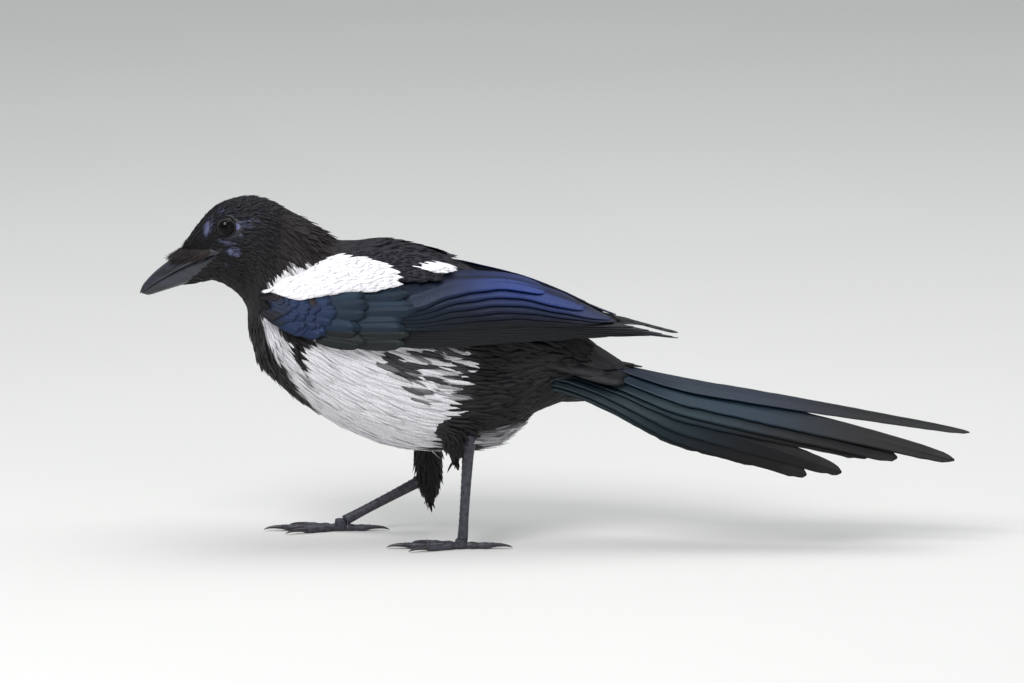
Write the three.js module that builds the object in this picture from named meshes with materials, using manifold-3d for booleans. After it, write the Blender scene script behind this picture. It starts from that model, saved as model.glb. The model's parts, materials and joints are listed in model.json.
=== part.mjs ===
// Eurasian magpie, standing, as a still life-size model.
// Millimetres, +Z up. The bird faces -X, its left side is -Y, and the floor is Z = 0.
// The origin is the middle of the bird's box, on the floor.
import * as THREE from 'three';
import { mergeVertices } from 'three/addons/utils/BufferGeometryUtils.js';
import Module from 'manifold-3d';

const wasm = await Module();
wasm.setup();

// Driving sizes
const GAP = 0.3; // between neighbouring nodes
const RING = 28; // corners of a body section
const BILL_TIP = [-190.6, 114.7];
const VANE = 0.62; // thickness of a flight feather
const LAYER = 0.98; // rise from one feather to the one that lies on it
const CLAW = 9.5; // length of a claw
const EYE = { x: -150.4, y: 11.7, z: 147.9, radius: 4.9 };
const TAIL = { x: 6, z: 85.5, slope: 10.1, roll: 25, arch: 30 };

const COLOURS = {
  black: { color: 0x17161b, roughness: 0.6, metalness: 0.05 },
  blue: { color: 0x1c2f63, roughness: 0.4, metalness: 0.3 },
  green: { color: 0x14302f, roughness: 0.4, metalness: 0.3 },
  white: { color: 0xece9e4, roughness: 0.85, metalness: 0 },
  bill: { color: 0x2a2b31, roughness: 0.45, metalness: 0 },
  scale: { color: 0x33323c, roughness: 0.6, metalness: 0 },
  eye: { color: 0x120c09, roughness: 0.08, metalness: 0 },
};

const rad = THREE.MathUtils.degToRad;
const lerp = THREE.MathUtils.lerp;
const step = THREE.MathUtils.smoothstep;

// A smooth curve through [place, value] rows.
function graph(rows) {
  const last = rows.length - 1;
  return (place) => {
    if (place <= rows[0][0]) return rows[0][1];
    if (place >= rows[last][0]) return rows[last][1];
    const i = rows.findIndex((row) => row[0] >= place) - 1;
    const span = rows[i + 1][0] - rows[i][0];
    const slope = (k) => {
      const a = Math.max(k - 1, 0);
      const b = Math.min(k + 1, last);
      return (rows[b][1] - rows[a][1]) / (rows[b][0] - rows[a][0]);
    };
    const t = (place - rows[i][0]) / span;
    const [h00, h10] = [(1 + 2 * t) * (1 - t) ** 2, t * (1 - t) ** 2];
    const [h01, h11] = [t * t * (3 - 2 * t), t * t * (t - 1)];
    return h00 * rows[i][1] + h10 * span * slope(i) + h01 * rows[i + 1][1] + h11 * span * slope(i + 1);
  };
}

// A closed body through rings of equally many points, with a fan over each end.
function loft(rings) {
  const n = rings[0].length;
  const points = rings.flat();
  const faces = [];
  for (let i = 0; i + 1 < rings.length; i += 1) {
    for (let k = 0; k < n; k += 1) {
      const [a, b] = [i * n + k, i * n + ((k + 1) % n)];
      faces.push(a, b, b + n, a, b + n, a + n);
    }
  }
  for (const [ring, turn] of [[0, 1], [rings.length - 1, 0]]) {
    const middle = new THREE.Vector3();
    rings[ring].forEach((p) => middle.addScaledVector(p, 1 / n));
    const hub = points.push(middle) - 1;
    for (let k = 0; k < n; k += 1) {
      const [a, b] = [ring * n + k, ring * n + ((k + 1) % n)];
      faces.push(...(turn ? [hub, b, a] : [hub, a, b]));
    }
  }
  return faceted(points, faces);
}

// Triangles as a geometry, turned inside out if their volume is negative.
function faceted(points, faces) {
  let volume = 0;
  for (let i = 0; i < faces.length; i += 3) {
    const [a, b, c] = [points[faces[i]], points[faces[i + 1]], points[faces[i + 2]]];
    volume += a.dot(b.clone().cross(c));
  }
  const index = volume < 0 ? faces.slice().reverse() : faces;
  const geometry = new THREE.BufferGeometry();
  geometry.setAttribute('position', new THREE.Float32BufferAttribute(points.flatMap((p) => p.toArray()), 3));
  geometry.setIndex(index);
  return geometry;
}

function toSolid(geometry) {
  const bare = geometry.clone();
  bare.deleteAttribute('normal');
  bare.deleteAttribute('uv');
  const merged = mergeVertices(bare, 1e-4);
  const mesh = new wasm.Mesh({
    numProp: 3,
    vertProperties: new Float32Array(merged.attributes.position.array),
    triVerts: new Uint32Array(merged.index.array),
  });
  return new wasm.Manifold(mesh);
}

function toGeometry(solid) {
  const mesh = solid.getMesh();
  const geometry = new THREE.BufferGeometry();
  geometry.setAttribute('position', new THREE.BufferAttribute(mesh.vertProperties, 3));
  geometry.setIndex(new THREE.BufferAttribute(mesh.triVerts, 1));
  return geometry;
}

// Joins geometries, takes others away, and keeps the largest closed surface.
function fuse(pieces, cutters = []) {
  let solid = pieces.map(toSolid).reduce((sum, piece) => sum.add(piece));
  for (const cutter of cutters) solid = solid.subtract(toSolid(cutter));
  const parts = solid.decompose().sort((a, b) => b.volume() - a.volume());
  return toGeometry(parts[0]);
}

const magpie = new THREE.Group();

function node(name, finish, geometry) {
  const mesh = new THREE.Mesh(geometry, new THREE.MeshStandardMaterial(COLOURS[finish]));
  mesh.name = name;
  magpie.add(mesh);
}

// Mirrors a geometry of the left side to the right one.
function mirrored(geometry) {
  const copy = geometry.clone();
  copy.scale(1, -1, 1);
  const index = Array.from(copy.index.array).reverse();
  copy.setIndex(index);
  return copy;
}

// Body
// Each section runs from the upper outline to the lower one:
// [upper x, upper z, lower x, lower z, half width, level of the widest part]
const SECTIONS = [
  [-173.5, 137.0, -166.0, 121.5, 3.2, 0.55],
  [-169.5, 141.2, -162.0, 120.6, 6.6, 0.58],
  [-165.0, 147.0, -157.0, 120.2, 9.6, 0.6],
  [-160.0, 152.9, -152.6, 118.9, 12.6, 0.6],
  [-154.8, 157.0, -148.5, 116.6, 15.2, 0.6],
  [-147.7, 159.8, -145.2, 113.8, 17.0, 0.6],
  [-139.4, 160.9, -142.9, 110.6, 17.8, 0.6],
  [-131.0, 158.9, -141.5, 107.2, 18.4, 0.58],
  [-123.6, 155.2, -141.2, 102.8, 19.6, 0.55],
  [-116.4, 151.2, -140.8, 98.2, 21.8, 0.5],
  [-109.0, 146.0, -139.4, 92.0, 24.8, 0.47],
  [-102.0, 141.4, -137.0, 84.6, 28.0, 0.45],
  [-93.5, 140.2, -130.6, 76.6, 30.8, 0.44],
  [-84.0, 141.0, -119.4, 66.2, 32.6, 0.44],
  [-73.0, 140.2, -103.6, 55.4, 33.4, 0.44],
  [-61.0, 137.2, -87.0, 47.4, 33.4, 0.44],
  [-49.0, 132.4, -69.6, 42.8, 32.4, 0.44],
  [-37.0, 126.6, -52.6, 41.8, 30.2, 0.45],
  [-25.0, 120.2, -36.6, 42.2, 27.2, 0.47],
  [-13.0, 113.0, -24.0, 47.6, 23.4, 0.5],
  [-1.0, 105.2, -12.6, 56.8, 19.6, 0.52],
  [10.0, 98.0, -0.6, 62.6, 16.2, 0.54],
  [18.0, 91.4, 10.2, 64.6, 13.6, 0.56],
];
const at = (column) => graph(SECTIONS.map((row, i) => [i, row[column]]));
const [upperX, upperZ, lowerX, lowerZ, halfWidth, widest] = [0, 1, 2, 3, 4, 5].map(at);
const NECK = 8.4; // section where the head ends and the neck begins
const BREAST = 11.4;
const RUMP = 18.6;
const TAIL_ROOT = 21.2;

// The wing lies in a shallow seat on the upper half of the side.
function seat(x, level) {
  const along = step(x, -136, -122) * (1 - step(x, -28, 2));
  const across = step(level, 0.42, 0.55) * (1 - step(level, 0.82, 0.95));
  return 3.2 * along * across;
}

// One ring of the body at a section number, grown by a margin.
function bodyRing(section, margin = 0) {
  const top = new THREE.Vector3(upperX(section), 0, upperZ(section));
  const bottom = new THREE.Vector3(lowerX(section), 0, lowerZ(section));
  const middle = widest(section);
  const rise = top.clone().sub(bottom);
  const grown = margin / rise.length();
  const ring = [];
  for (let k = 0; k < RING; k += 1) {
    const angle = (2 * Math.PI * k) / RING;
    const up = Math.sin(angle);
    const level = middle + up * (up > 0 ? 1 - middle + grown : middle + grown);
    const point = bottom.clone().addScaledVector(rise, level);
    const wide = Math.abs(Math.cos(angle)) ** 0.9 * (halfWidth(section) + margin);
    const inset = seat(point.x, level) * Math.abs(Math.cos(angle));
    point.y = -Math.sign(Math.cos(angle)) * Math.max(wide - inset, 0);
    ring.push(point);
  }
  return ring;
}

function bodyLoft(from, to, margin = 0, stations = 2) {
  const rings = [bodyRing(from, margin)];
  for (let i = Math.floor(from * stations) + 1; i < to * stations - 0.2; i += 1) {
    if (i / stations - from > 0.1) rings.push(bodyRing(i / stations, margin));
  }
  rings.push(bodyRing(to, margin));
  return loft(rings);
}

// Bill
// The two halves meet along a line that bends down to the hooked tip.
const BILL_BASE = -157.5;
const culmen = graph([
  [-190.6, 115.3], [-189.4, 118.4], [-186.8, 121.7], [-183.4, 125.1],
  [-179, 128.7], [-174, 132.5], [-168, 136.6], [-157.5, 141.0],
]);
const mouth = graph([
  [-190.6, 114.9], [-189.4, 115.7], [-186.8, 117.6], [-183.4, 120.2],
  [-177, 124.3], [-169, 128.9], [-161, 133.0], [-155, 135.2],
]);
const keel = graph([
  [-189.2, 114.9], [-186.5, 114.3], [-181.9, 115.6], [-175.5, 117.6], [-168.6, 119.7], [-155, 122.6],
]);
const billWidth = graph([
  [-190.6, 0.5], [-189.2, 1.3], [-186, 2.6], [-180, 4.2], [-172, 6.0], [-165, 7.5], [-157.5, 9.0],
]);
const BILL_CORNERS = 9;

// A half of the bill, between the mouth line and its outer line, grown by a margin.
function billHalf(outer, side, tip, margin = 0, split = GAP / 2) {
  const rings = [];
  const stations = 11;
  for (let i = 0; i <= stations; i += 1) {
    const x = lerp(tip - margin, BILL_BASE + margin, (i / stations) ** 1.25);
    const ring = [];
    const edge = mouth(x) + side * (split - margin);
    const far = outer(x) + side * margin;
    const width = Math.max(billWidth(x) * (side > 0 ? 1 : 0.9), 0.35) + margin;
    for (let k = 0; k <= BILL_CORNERS; k += 1) {
      const angle = (Math.PI * k) / BILL_CORNERS;
      const high = Math.sin(angle) ** 0.85 * Math.max(side * (far - edge), 0.25);
      ring.push(new THREE.Vector3(x, width * Math.cos(angle), edge + side * high));
    }
    rings.push(ring);
  }
  return loft(rings);
}

const UPPER_TIP = BILL_TIP[0];
const LOWER_TIP = -189.4;

function ball(x, y, z, radius, across = 12) {
  const sphere = new THREE.SphereGeometry(radius, across, across - 4);
  sphere.rotateX(Math.PI / 2);
  return sphere.translate(x, y, z);
}

// A long feather or bristle as a closed thin blade.
// rows: [middle, across, normal, half width, thickness] at each station; the last one is the tip.
function blade(rows, cross = [-1, 0, 1]) {
  const points = [];
  const n = cross.length;
  for (const [middle, across, normal, width, thick] of rows) {
    for (const face of [0.5, -0.5]) {
      for (const c of cross) {
        const point = middle.clone().addScaledVector(across, c * width);
        points.push(point.addScaledVector(normal, face * thick));
      }
    }
  }
  const faces = [];
  const quad = (a, b, c, d) => faces.push(a, b, c, a, c, d);
  const ring = 2 * n;
  for (let i = 0; i + 1 < rows.length; i += 1) {
    const [a, b] = [i * ring, (i + 1) * ring];
    for (let k = 0; k + 1 < n; k += 1) {
      quad(a + k, a + k + 1, b + k + 1, b + k);
      // The lower face is split along the same diagonal as the upper one.
      const [p, q, r, s] = [a + n + k, a + n + k + 1, b + n + k + 1, b + n + k];
      faces.push(p, r, q, p, s, r);
    }
    quad(a + n, a, b, b + n);
    quad(a + n - 1, a + ring - 1, b + ring - 1, b + n - 1);
  }
  for (let k = 0; k + 1 < n; k += 1) {
    quad(k + 1, k, n + k, n + k + 1);
    const z = (rows.length - 1) * ring;
    quad(z + k, z + k + 1, z + n + k + 1, z + n + k);
  }
  return faceted(points, faces);
}

// Half width of a vane along its length: narrow root, even middle, rounded tip.
function vaneShape(t, tipStart = 0.8, tipWidth = 0.22) {
  const root = lerp(0.45, 1, step(t, 0, 0.3));
  const end = t < tipStart ? 0 : (t - tipStart) / (1 - tipStart);
  return root * lerp(tipWidth, 1, Math.sqrt(1 - end * end));
}

// Wing
// Across a folded wing, 0 degrees is its lower edge and 90 degrees the middle of the back.
const wingWidth = graph([
  [-137, 25], [-128, 30.2], [-115, 33.8], [-100, 35.6], [-80, 36.4], [-60, 35.4], [-40, 32.2],
  [-20, 27.4], [0, 22.2], [20, 16.8], [40, 12.4], [58, 9.0],
]);
const wingLow = graph([
  [-137, 110], [-128, 104.5], [-120, 100.6], [-110, 97.0], [-100, 95.8], [-85, 97.2], [-65, 98.6],
  [-45, 99.6], [-10, 100.8], [30, 99.8], [58, 96.2],
]);
const wingTop = graph([
  [-137, 121], [-120, 131], [-100, 138], [-80, 140.4], [-60, 137.6], [-45, 132.4], [-34, 128.6],
  [-16, 124], [2.5, 117], [12, 112.5], [21, 108], [28, 105], [37, 102.2], [47.5, 99.6], [58, 97],
]);

function onWing(x, degrees, lift = 0) {
  const spread = (u, v) => {
    const angle = rad(v);
    return new THREE.Vector3(
      u,
      -wingWidth(u) * Math.cos(angle),
      wingLow(u) + (wingTop(u) - wingLow(u)) * Math.sin(angle),
    );
  };
  const point = spread(x, degrees);
  const along = spread(x + 1, degrees).sub(spread(x - 1, degrees));
  const across = spread(x, degrees + 1).sub(spread(x, degrees - 1));
  const normal = along.clone().cross(across).normalize();
  return { point: point.addScaledVector(normal, lift), across: across.normalize(), normal };
}

const PRIMARIES = 5;
const SECONDARIES = 7;
const seam = graph([[-110, 12], [-60, 15], [-10, 23], [20, 34], [40, 60], [58, 80]]);
const crest = graph([[-110, 44], [-60, 55], [-30, 74], [20, 78], [40, 80], [58, 80]]);

// The level across the wing of flight feather i, counted from the lower edge up.
function featherLevel(i, x) {
  if (i < PRIMARIES) return lerp(-2, seam(x), (i + 0.5) / PRIMARIES);
  return lerp(seam(x), crest(x), (i - PRIMARIES + 0.5) / SECONDARIES);
}

function pitch(i, x) {
  const here = onWing(x, featherLevel(i, x)).point;
  return here.distanceTo(onWing(x, featherLevel(i + 1, x)).point);
}

// Each feather leans on the one below it, and stands clear by one layer.
const LEAN = 0.36;
const lean = (i, x) => Math.min(LEAN, LAYER / pitch(i, x));
function stackLift(i, x) {
  let lift = 0;
  for (let k = 0; k < i; k += 1) lift += LAYER - lean(k, x) * pitch(k, x);
  return lift;
}

// Towards the tips, where the feathers lie closest, part of the stack is below the wing's face.
const SUNK_SHARE = 0.55;
const sinking = (x) => SUNK_SHARE * stackLift(PRIMARIES + SECONDARIES - 1, x);

const PRIMARY_TIPS = [30, 56.5, 52, 45, 37];
const SECONDARY_TIPS = [20, 24, 27, 28, 23, 10, -6];
const STATION = 20;

function stationsBetween(root, tip) {
  const list = [root];
  for (let x = Math.ceil((root + 3) / STATION) * STATION; x < tip - 14; x += STATION) list.push(x);
  return [...list, tip - 6, tip];
}

function flightFeather(i) {
  const primary = i < PRIMARIES;
  const tip = primary ? PRIMARY_TIPS[i] : SECONDARY_TIPS[i - PRIMARIES];
  const root = primary ? -84 : -90;
  const full = primary ? 4.8 : 6.6;
  const rows = stationsBetween(root, tip).map((x) => {
    const t = (x - root) / (tip - root);
    const sunk = lerp(-2.6, 0, step(x, root, root + 34));
    const slope = i + 1 < PRIMARIES + SECONDARIES ? lean(i, x) : LEAN;
    const level = featherLevel(i, x);
    const { point, across, normal } = onWing(x, level, stackLift(i, x) - sinking(x) + sunk - 1.2);
    const tilted = across.clone().addScaledVector(normal, -slope).normalize();
    const upright = normal.clone().addScaledVector(across, slope).normalize();
    const width = full * vaneShape(t, 0.86, 0.18) * lerp(1, 0.62, step(x, 0, 58));
    return [point, tilted, upright, width, lerp(VANE, 0.4, step(t, 0.85, 1))];
  });
  return blade(rows, primary ? [-1, 1] : [-1, 0, 1]);
}

// Coverts lie over the roots of the flight feathers in rounded rows.
const COVERT_ROWS = [
  { count: 6, from: 15, to: 47, root: -116, length: 38, width: 5.6, lift: 0.9, dip: -2.6 },
  { count: 3, from: 1, to: 14, root: -106, length: 42, width: 5.0, lift: 0.7, dip: -2.4 },
  { count: 5, from: 8, to: 46, root: -128, length: 24, width: 5.6, lift: 1.5, dip: -2.2 },
];

function covert(row, i) {
  const share = (i + 0.5) / row.count;
  const root = row.root + 6 * Math.sin(Math.PI * share);
  const tip = root + row.length;
  const rows = [0, 0.45, 0.8, 1].map((t) => {
    const x = lerp(root, tip, t);
    const level = lerp(row.from, row.to, share) * lerp(1, 1.08, t);
    const lift = lerp(row.dip, row.lift, step(t, 0, 0.8));
    const { point, across, normal } = onWing(x, level, lift);
    const tilted = across.clone().addScaledVector(normal, -0.2).normalize();
    const upright = normal.clone().addScaledVector(across, 0.2).normalize();
    return [point, tilted, upright, row.width * vaneShape(t, 0.6, 0.3), lerp(0.75, 0.45, t)];
  });
  return blade(rows, [-1, 1]);
}

// The arm inside the feathers: a pad between the body and the wing's outer face.
function wingPad() {
  const rings = [];
  const edge = 9;
  for (let i = 0; i <= edge; i += 1) {
    const t = i / edge;
    const x = lerp(-135.5, -52, t);
    const round = Math.sin(Math.PI * lerp(0.08, 0.94, t)) ** 0.45;
    const middle = lerp(20, 26, t);
    const reach = round * lerp(24, 30, t);
    const outer = [];
    const inner = [];
    const cells = 5;
    for (let k = 0; k <= cells; k += 1) {
      const s = (2 * k) / cells - 1;
      const level = middle + s * reach;
      const bulge = Math.sqrt(1 - 0.9 * s * s);
      outer.push(onWing(x, level, lerp(-4.2, -0.9, bulge * round) - 2.2 * step(x, -84, -52)).point);
      inner.unshift(onWing(x, level, -9).point);
    }
    rings.push([...outer, ...inner]);
  }
  return loft(rings);
}

const bodyCutter = bodyLoft(5, 22, GAP);
const flight = Array.from({ length: PRIMARIES + SECONDARIES }, (_, i) => flightFeather(i));
const coverts = COVERT_ROWS.flatMap((row) => Array.from({ length: row.count }, (_, i) => covert(row, i)));
const leftWing = fuse([wingPad(), ...flight, ...coverts], [bodyCutter]);

// Tail
// Across the arched tail, negative is the left side, in mm along the arch.
const AXIS = new THREE.Vector3(Math.cos(rad(TAIL.slope)), 0, -Math.sin(rad(TAIL.slope)));

function onTail(along, across, depth) {
  const bend = across / TAIL.arch;
  const local = new THREE.Vector2(Math.sin(bend), Math.cos(bend)).multiplyScalar(TAIL.arch - depth);
  const roll = rad(-TAIL.roll) * step(along, -10, 60);
  const up = new THREE.Vector3(Math.sin(rad(TAIL.slope)), 0, Math.cos(rad(TAIL.slope)));
  const side = new THREE.Vector3(0, 1, 0);
  const turnedUp = up.clone().multiplyScalar(Math.cos(roll)).addScaledVector(side, Math.sin(roll));
  const turnedSide = side.clone().multiplyScalar(Math.cos(roll)).addScaledVector(up, -Math.sin(roll));
  const hub = new THREE.Vector3(TAIL.x, 0, TAIL.z).addScaledVector(AXIS, along);
  hub.addScaledVector(up, -TAIL.arch);
  const normal = turnedSide.clone().multiplyScalar(Math.sin(bend));
  normal.addScaledVector(turnedUp, Math.cos(bend));
  const tangent = turnedSide.clone().multiplyScalar(Math.cos(bend));
  tangent.addScaledVector(turnedUp, -Math.sin(bend));
  const point = hub.addScaledVector(turnedSide, local.x).addScaledVector(turnedUp, local.y);
  return { point, normal, tangent };
}

// [side, root place across, tip place across, length, layer], from the middle pair outwards
const RECTRICES = [
  [1, 3, 4.5, 187, 0], [1, 7.5, 9.5, 160, 2], [1, 10, 11.5, 146, 3],
  [1, 12.5, 14, 131, 4], [1, 15, 16.5, 116, 5], [1, 17.5, 19, 100, 6],
  [-1, 3, 14.4, 181.5, 1], [-1, 7.5, 17.5, 155.5, 2], [-1, 10, 19, 143, 3],
  [-1, 13.5, 29.5, 131.5, 4], [-1, 17, 35, 116, 5], [-1, 19, 32, 98, 6],
];
const TAIL_START = 12;
const FAN = 1.7; // how late along the tail the feathers spread

// Short feathers that lie over the roots of the long ones.
function tailCovert(across) {
  return blade([TAIL_START + 1, 20, 26, 30].map((d, i) => {
    const { point, normal, tangent } = onTail(d, across, -COVERT_RISE + 0.03 * d);
    return [point, tangent, normal, [4.5, 6, 4.6, 1.2][i], 0.9];
  }));
}
const COVERT_RISE = 1.4;

function rectrix([side, root, tip, length, layer]) {
  const stops = [TAIL_START + 1.5, 24, 45, 70, 95, 120, 145, 170].filter((d) => d < length - 16);
  const rows = [...stops, length - 12, length - 4, length].map((d) => {
    const across = side * lerp(root, tip, ((d - TAIL_START) / (length - TAIL_START)) ** FAN);
    const { point, normal, tangent } = onTail(d, across, layer * LAYER);
    const t = d / length;
    const taper = lerp(1, 0.6, step(t, 0.5, 1));
    const width = lerp(5.2, 6.4, step(d, 12, 60)) * taper * vaneShape(0.3 + 0.7 * t, 0.9, 0.25);
    return [point, tangent, normal, width, lerp(VANE, 0.45, step(t, 0.85, 1))];
  });
  return blade(rows);
}

// The tail's root carries on the rump's form, and the feathers come out of it.
function tailRoot() {
  const first = bodyRing(TAIL_ROOT + 0.04);
  const rings = [first];
  const reach = 34;
  for (const t of [0.3, 0.65, 1]) {
    const shrink = lerp(1, 0.2, t ** 1.15);
    const middle = new THREE.Vector3();
    first.forEach((p) => middle.addScaledVector(p, 1 / first.length));
    const target = middle.clone().addScaledVector(AXIS, reach * t);
    rings.push(first.map((p) => p.clone().sub(middle).multiplyScalar(shrink).add(target)));
  }
  return loft(rings);
}

const tail = fuse([tailRoot(), ...RECTRICES.map(rectrix), ...[-15, -5, 5, 15].map(tailCovert)], [bodyLoft(15, TAIL_ROOT, GAP)]);

// Legs
// A round limb through [x, y, z, half width fore and aft, half width across] rows,
// each ring square to the limb's own line, with both ends moved out by a margin.
function limb(rows, margin = 0, corners = 10) {
  const spots = rows.map(([x, y, z]) => new THREE.Vector3(x, y, z));
  const side = new THREE.Vector3(0, 1, 0);
  const last = rows.length - 1;
  return loft(rows.map(([, , , along, across], i) => {
    const line = spots[Math.min(i + 1, last)].clone().sub(spots[Math.max(i - 1, 0)]).normalize();
    const fore = side.clone().cross(line).normalize();
    const middle = spots[i].clone().addScaledVector(line, (i === last ? margin : 0) - (i === 0 ? margin : 0));
    const ring = [];
    for (let k = 0; k < corners; k += 1) {
      const angle = (2 * Math.PI * k) / corners;
      const point = middle.clone().addScaledVector(fore, (along + margin) * Math.cos(angle));
      ring.push(point.addScaledVector(side, (across + margin) * Math.sin(angle)));
    }
    return ring;
  }));
}

const LEGS = {
  left: {
    y: -22,
    ankle: [-39.4, 53],
    foot: [-42.6, 4.2],
    thigh: [[-50, -16, 74, 15, 8], [-49, -19, 62, 12, 7.5], [-46.5, -21, 53, 7.6, 5.8], [-46, -22, 46.5, 4, 3.4],
      [-45.4, -22, 41.5, 1, 1]],
  },
  right: {
    y: 22,
    ankle: [-55.4, 27],
    foot: [-96.5, 5.2],
    thigh: [[-58, 16, 70, 17, 8], [-58.5, 18, 58, 12, 7.5], [-58.8, 20, 46, 7.4, 6.2], [-58.6, 21, 34, 6.6, 5.6],
      [-58.2, 22, 24, 5.6, 4.8], [-58.5, 22, 16, 2.2, 2]],
  },
};

function tarsus(leg, margin = 0) {
  const [[ax, az], [fx, fz]] = [leg.ankle, leg.foot];
  const shape = [[0, 2.0, 1.7], [0.04, 2.9, 2.5], [0.1, 2.5, 2.1], [0.2, 2.1, 1.8], [0.75, 1.9, 1.75], [1, 2.3, 2.1]];
  return limb(shape.map(([t, along, across]) => [lerp(ax, fx, t), leg.y, lerp(az, fz, t), along, across]), margin);
}

// [name, turn from straight ahead, length with claw]
const TOES = [['middle', 0, 34], ['inner', 24, 25], ['outer', -24, 26], ['hind', 180, 24]];
const TOE_HEIGHT = 1.5;

function toeBlade(leg, turn, from, to, radii, height) {
  const direction = new THREE.Vector3(-Math.cos(rad(turn)), Math.sin(rad(turn)), 0);
  const side = new THREE.Vector3(-direction.y, direction.x, 0);
  const rings = radii.map(([t, r, lift, flat]) => {
    const centre = new THREE.Vector3(leg.foot[0] + leg.heel, leg.y, height + lift);
    centre.addScaledVector(direction, lerp(from, to, t));
    const ring = [];
    for (let k = 0; k < 8; k += 1) {
      const angle = (Math.PI * (k + 0.5)) / 4;
      const point = centre.clone().addScaledVector(side, r * Math.cos(angle));
      point.z = Math.sin(angle) < -0.9 ? flat : Math.max(point.z + r * Math.sin(angle), flat);
      ring.push(point);
    }
    return ring;
  });
  return loft(rings);
}

function foot(leg) {
  const toes = TOES.map(([, turn, length]) => toeBlade(leg, turn, -1, length - CLAW, [
    [0, 1.9, 0.6, 0], [0.25, 1.45, 0.1, 0], [0.4, 1.75, 0.2, 0], [0.62, 1.4, 0, 0], [1, 1.15, 0, 0],
  ], TOE_HEIGHT));
  const x = leg.foot[0] + leg.heel * 0.6;
  const heel = limb([
    [x, leg.y, 0.5, 2.3, 2.2], [x, leg.y, 2.6, 3.0, 2.7], [x, leg.y, leg.foot[1] + 0.6, 2.6, 2.5],
  ], 0, 8);
  return fuse([heel, ...toes], [tarsus(leg, GAP)]);
}

function claw(leg, turn, length) {
  return toeBlade(leg, turn, length - CLAW + GAP, length, [
    [0, 1.05, 0.1, 0.3], [0.3, 0.95, 0.35, 0.5], [0.6, 0.7, 0.25, 0.5], [0.85, 0.42, -0.2, 0.4], [1, 0.15, -0.9, 0.3],
  ], TOE_HEIGHT);
}

// Head
const lid = (side) => {
  const ring = new THREE.TorusGeometry(EYE.radius + 0.1, 1.0, 5, 14);
  ring.rotateX(Math.PI / 2);
  ring.rotateZ(side * rad(14));
  return ring.translate(EYE.x - 0.2, side * (EYE.y + 3.0), EYE.z);
};

// A lock of the bristles that lie forward over the nostrils.
function bristleLock(side, degrees) {
  const angle = rad(degrees);
  const forward = new THREE.Vector3(-0.85, 0, -0.53);
  return blade([[-160, 3.4], [-167, 3.2], [-173, 2.5], [-178, 0.7]].map(([x, width]) => {
    const rise = (culmen(x) - mouth(x)) * Math.sin(angle) ** 0.85;
    const point = new THREE.Vector3(x, side * billWidth(x) * Math.cos(angle), mouth(x) + rise);
    const normal = new THREE.Vector3(-0.45 * Math.sin(angle), side * Math.cos(angle), Math.sin(angle)).normalize();
    return [point.addScaledVector(normal, 0.6), normal.clone().cross(forward).normalize(), normal, width, 1.6];
  }));
}
const locks = [-1, 1].flatMap((side) => [46, 78].map((degrees) => bristleLock(side, degrees)));

const billRoom = [
  billHalf(culmen, 1, UPPER_TIP, GAP),
  billHalf(keel, -1, LOWER_TIP, GAP),
];
const eyeRoom = [-1, 1].map((side) => ball(EYE.x, side * EYE.y, EYE.z, EYE.radius + GAP));

node('head', 'black', fuse([bodyLoft(0, NECK), lid(-1), lid(1), ...locks], [...billRoom, ...eyeRoom]));
node('neck', 'black', bodyLoft(NECK + 0.045, BREAST));
const legRoom = Object.values(LEGS).map((leg) => tarsus(leg, GAP));
node('torso', 'white', fuse([bodyLoft(BREAST + 0.045, RUMP)], legRoom));
node('rump', 'black', fuse([bodyLoft(RUMP + 0.03, TAIL_ROOT)], legRoom));
node('bill_upper', 'bill', billHalf(culmen, 1, UPPER_TIP));
node('bill_lower', 'bill', billHalf(keel, -1, LOWER_TIP));
node('wing_left', 'blue', leftWing);
node('wing_right', 'blue', mirrored(leftWing));
node('tail', 'green', tail);
for (const [name, leg] of Object.entries(LEGS)) {
  leg.heel = name === 'left' ? -1 : -4;
  const side = Math.sign(leg.y);
  const thigh = fuse([limb(leg.thigh)], [bodyLoft(8, 21, GAP), tarsus(leg, GAP)]);
  node(`eye_${name}`, 'eye', ball(EYE.x, side * EYE.y, EYE.z, EYE.radius));
  node(`thigh_${name}`, 'black', thigh);
  node(`tarsus_${name}`, 'scale', tarsus(leg));
  node(`foot_${name}`, 'scale', foot(leg));
  for (const [toe, turn, length] of TOES) {
    node(`claw_${name}_${toe}`, 'bill', claw(leg, turn, length));
  }
}

export default magpie;
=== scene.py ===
"""A standing eurasian magpie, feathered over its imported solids.

The bird faces -X, its left side is -Y and the floor is Z = 0. Sizes in the classes
are millimetres, and meshes are made in metres.
"""
import json
import logging
import math
from collections.abc import Callable, Sequence
from dataclasses import dataclass, field, replace
from enum import Enum
from typing import ClassVar

import bpy
import numpy as np
from bpy.types import Collection, Material, Mesh, Node, NodeSocket, NodeTree, Object
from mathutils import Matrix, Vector
from mathutils.kdtree import KDTree

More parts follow.
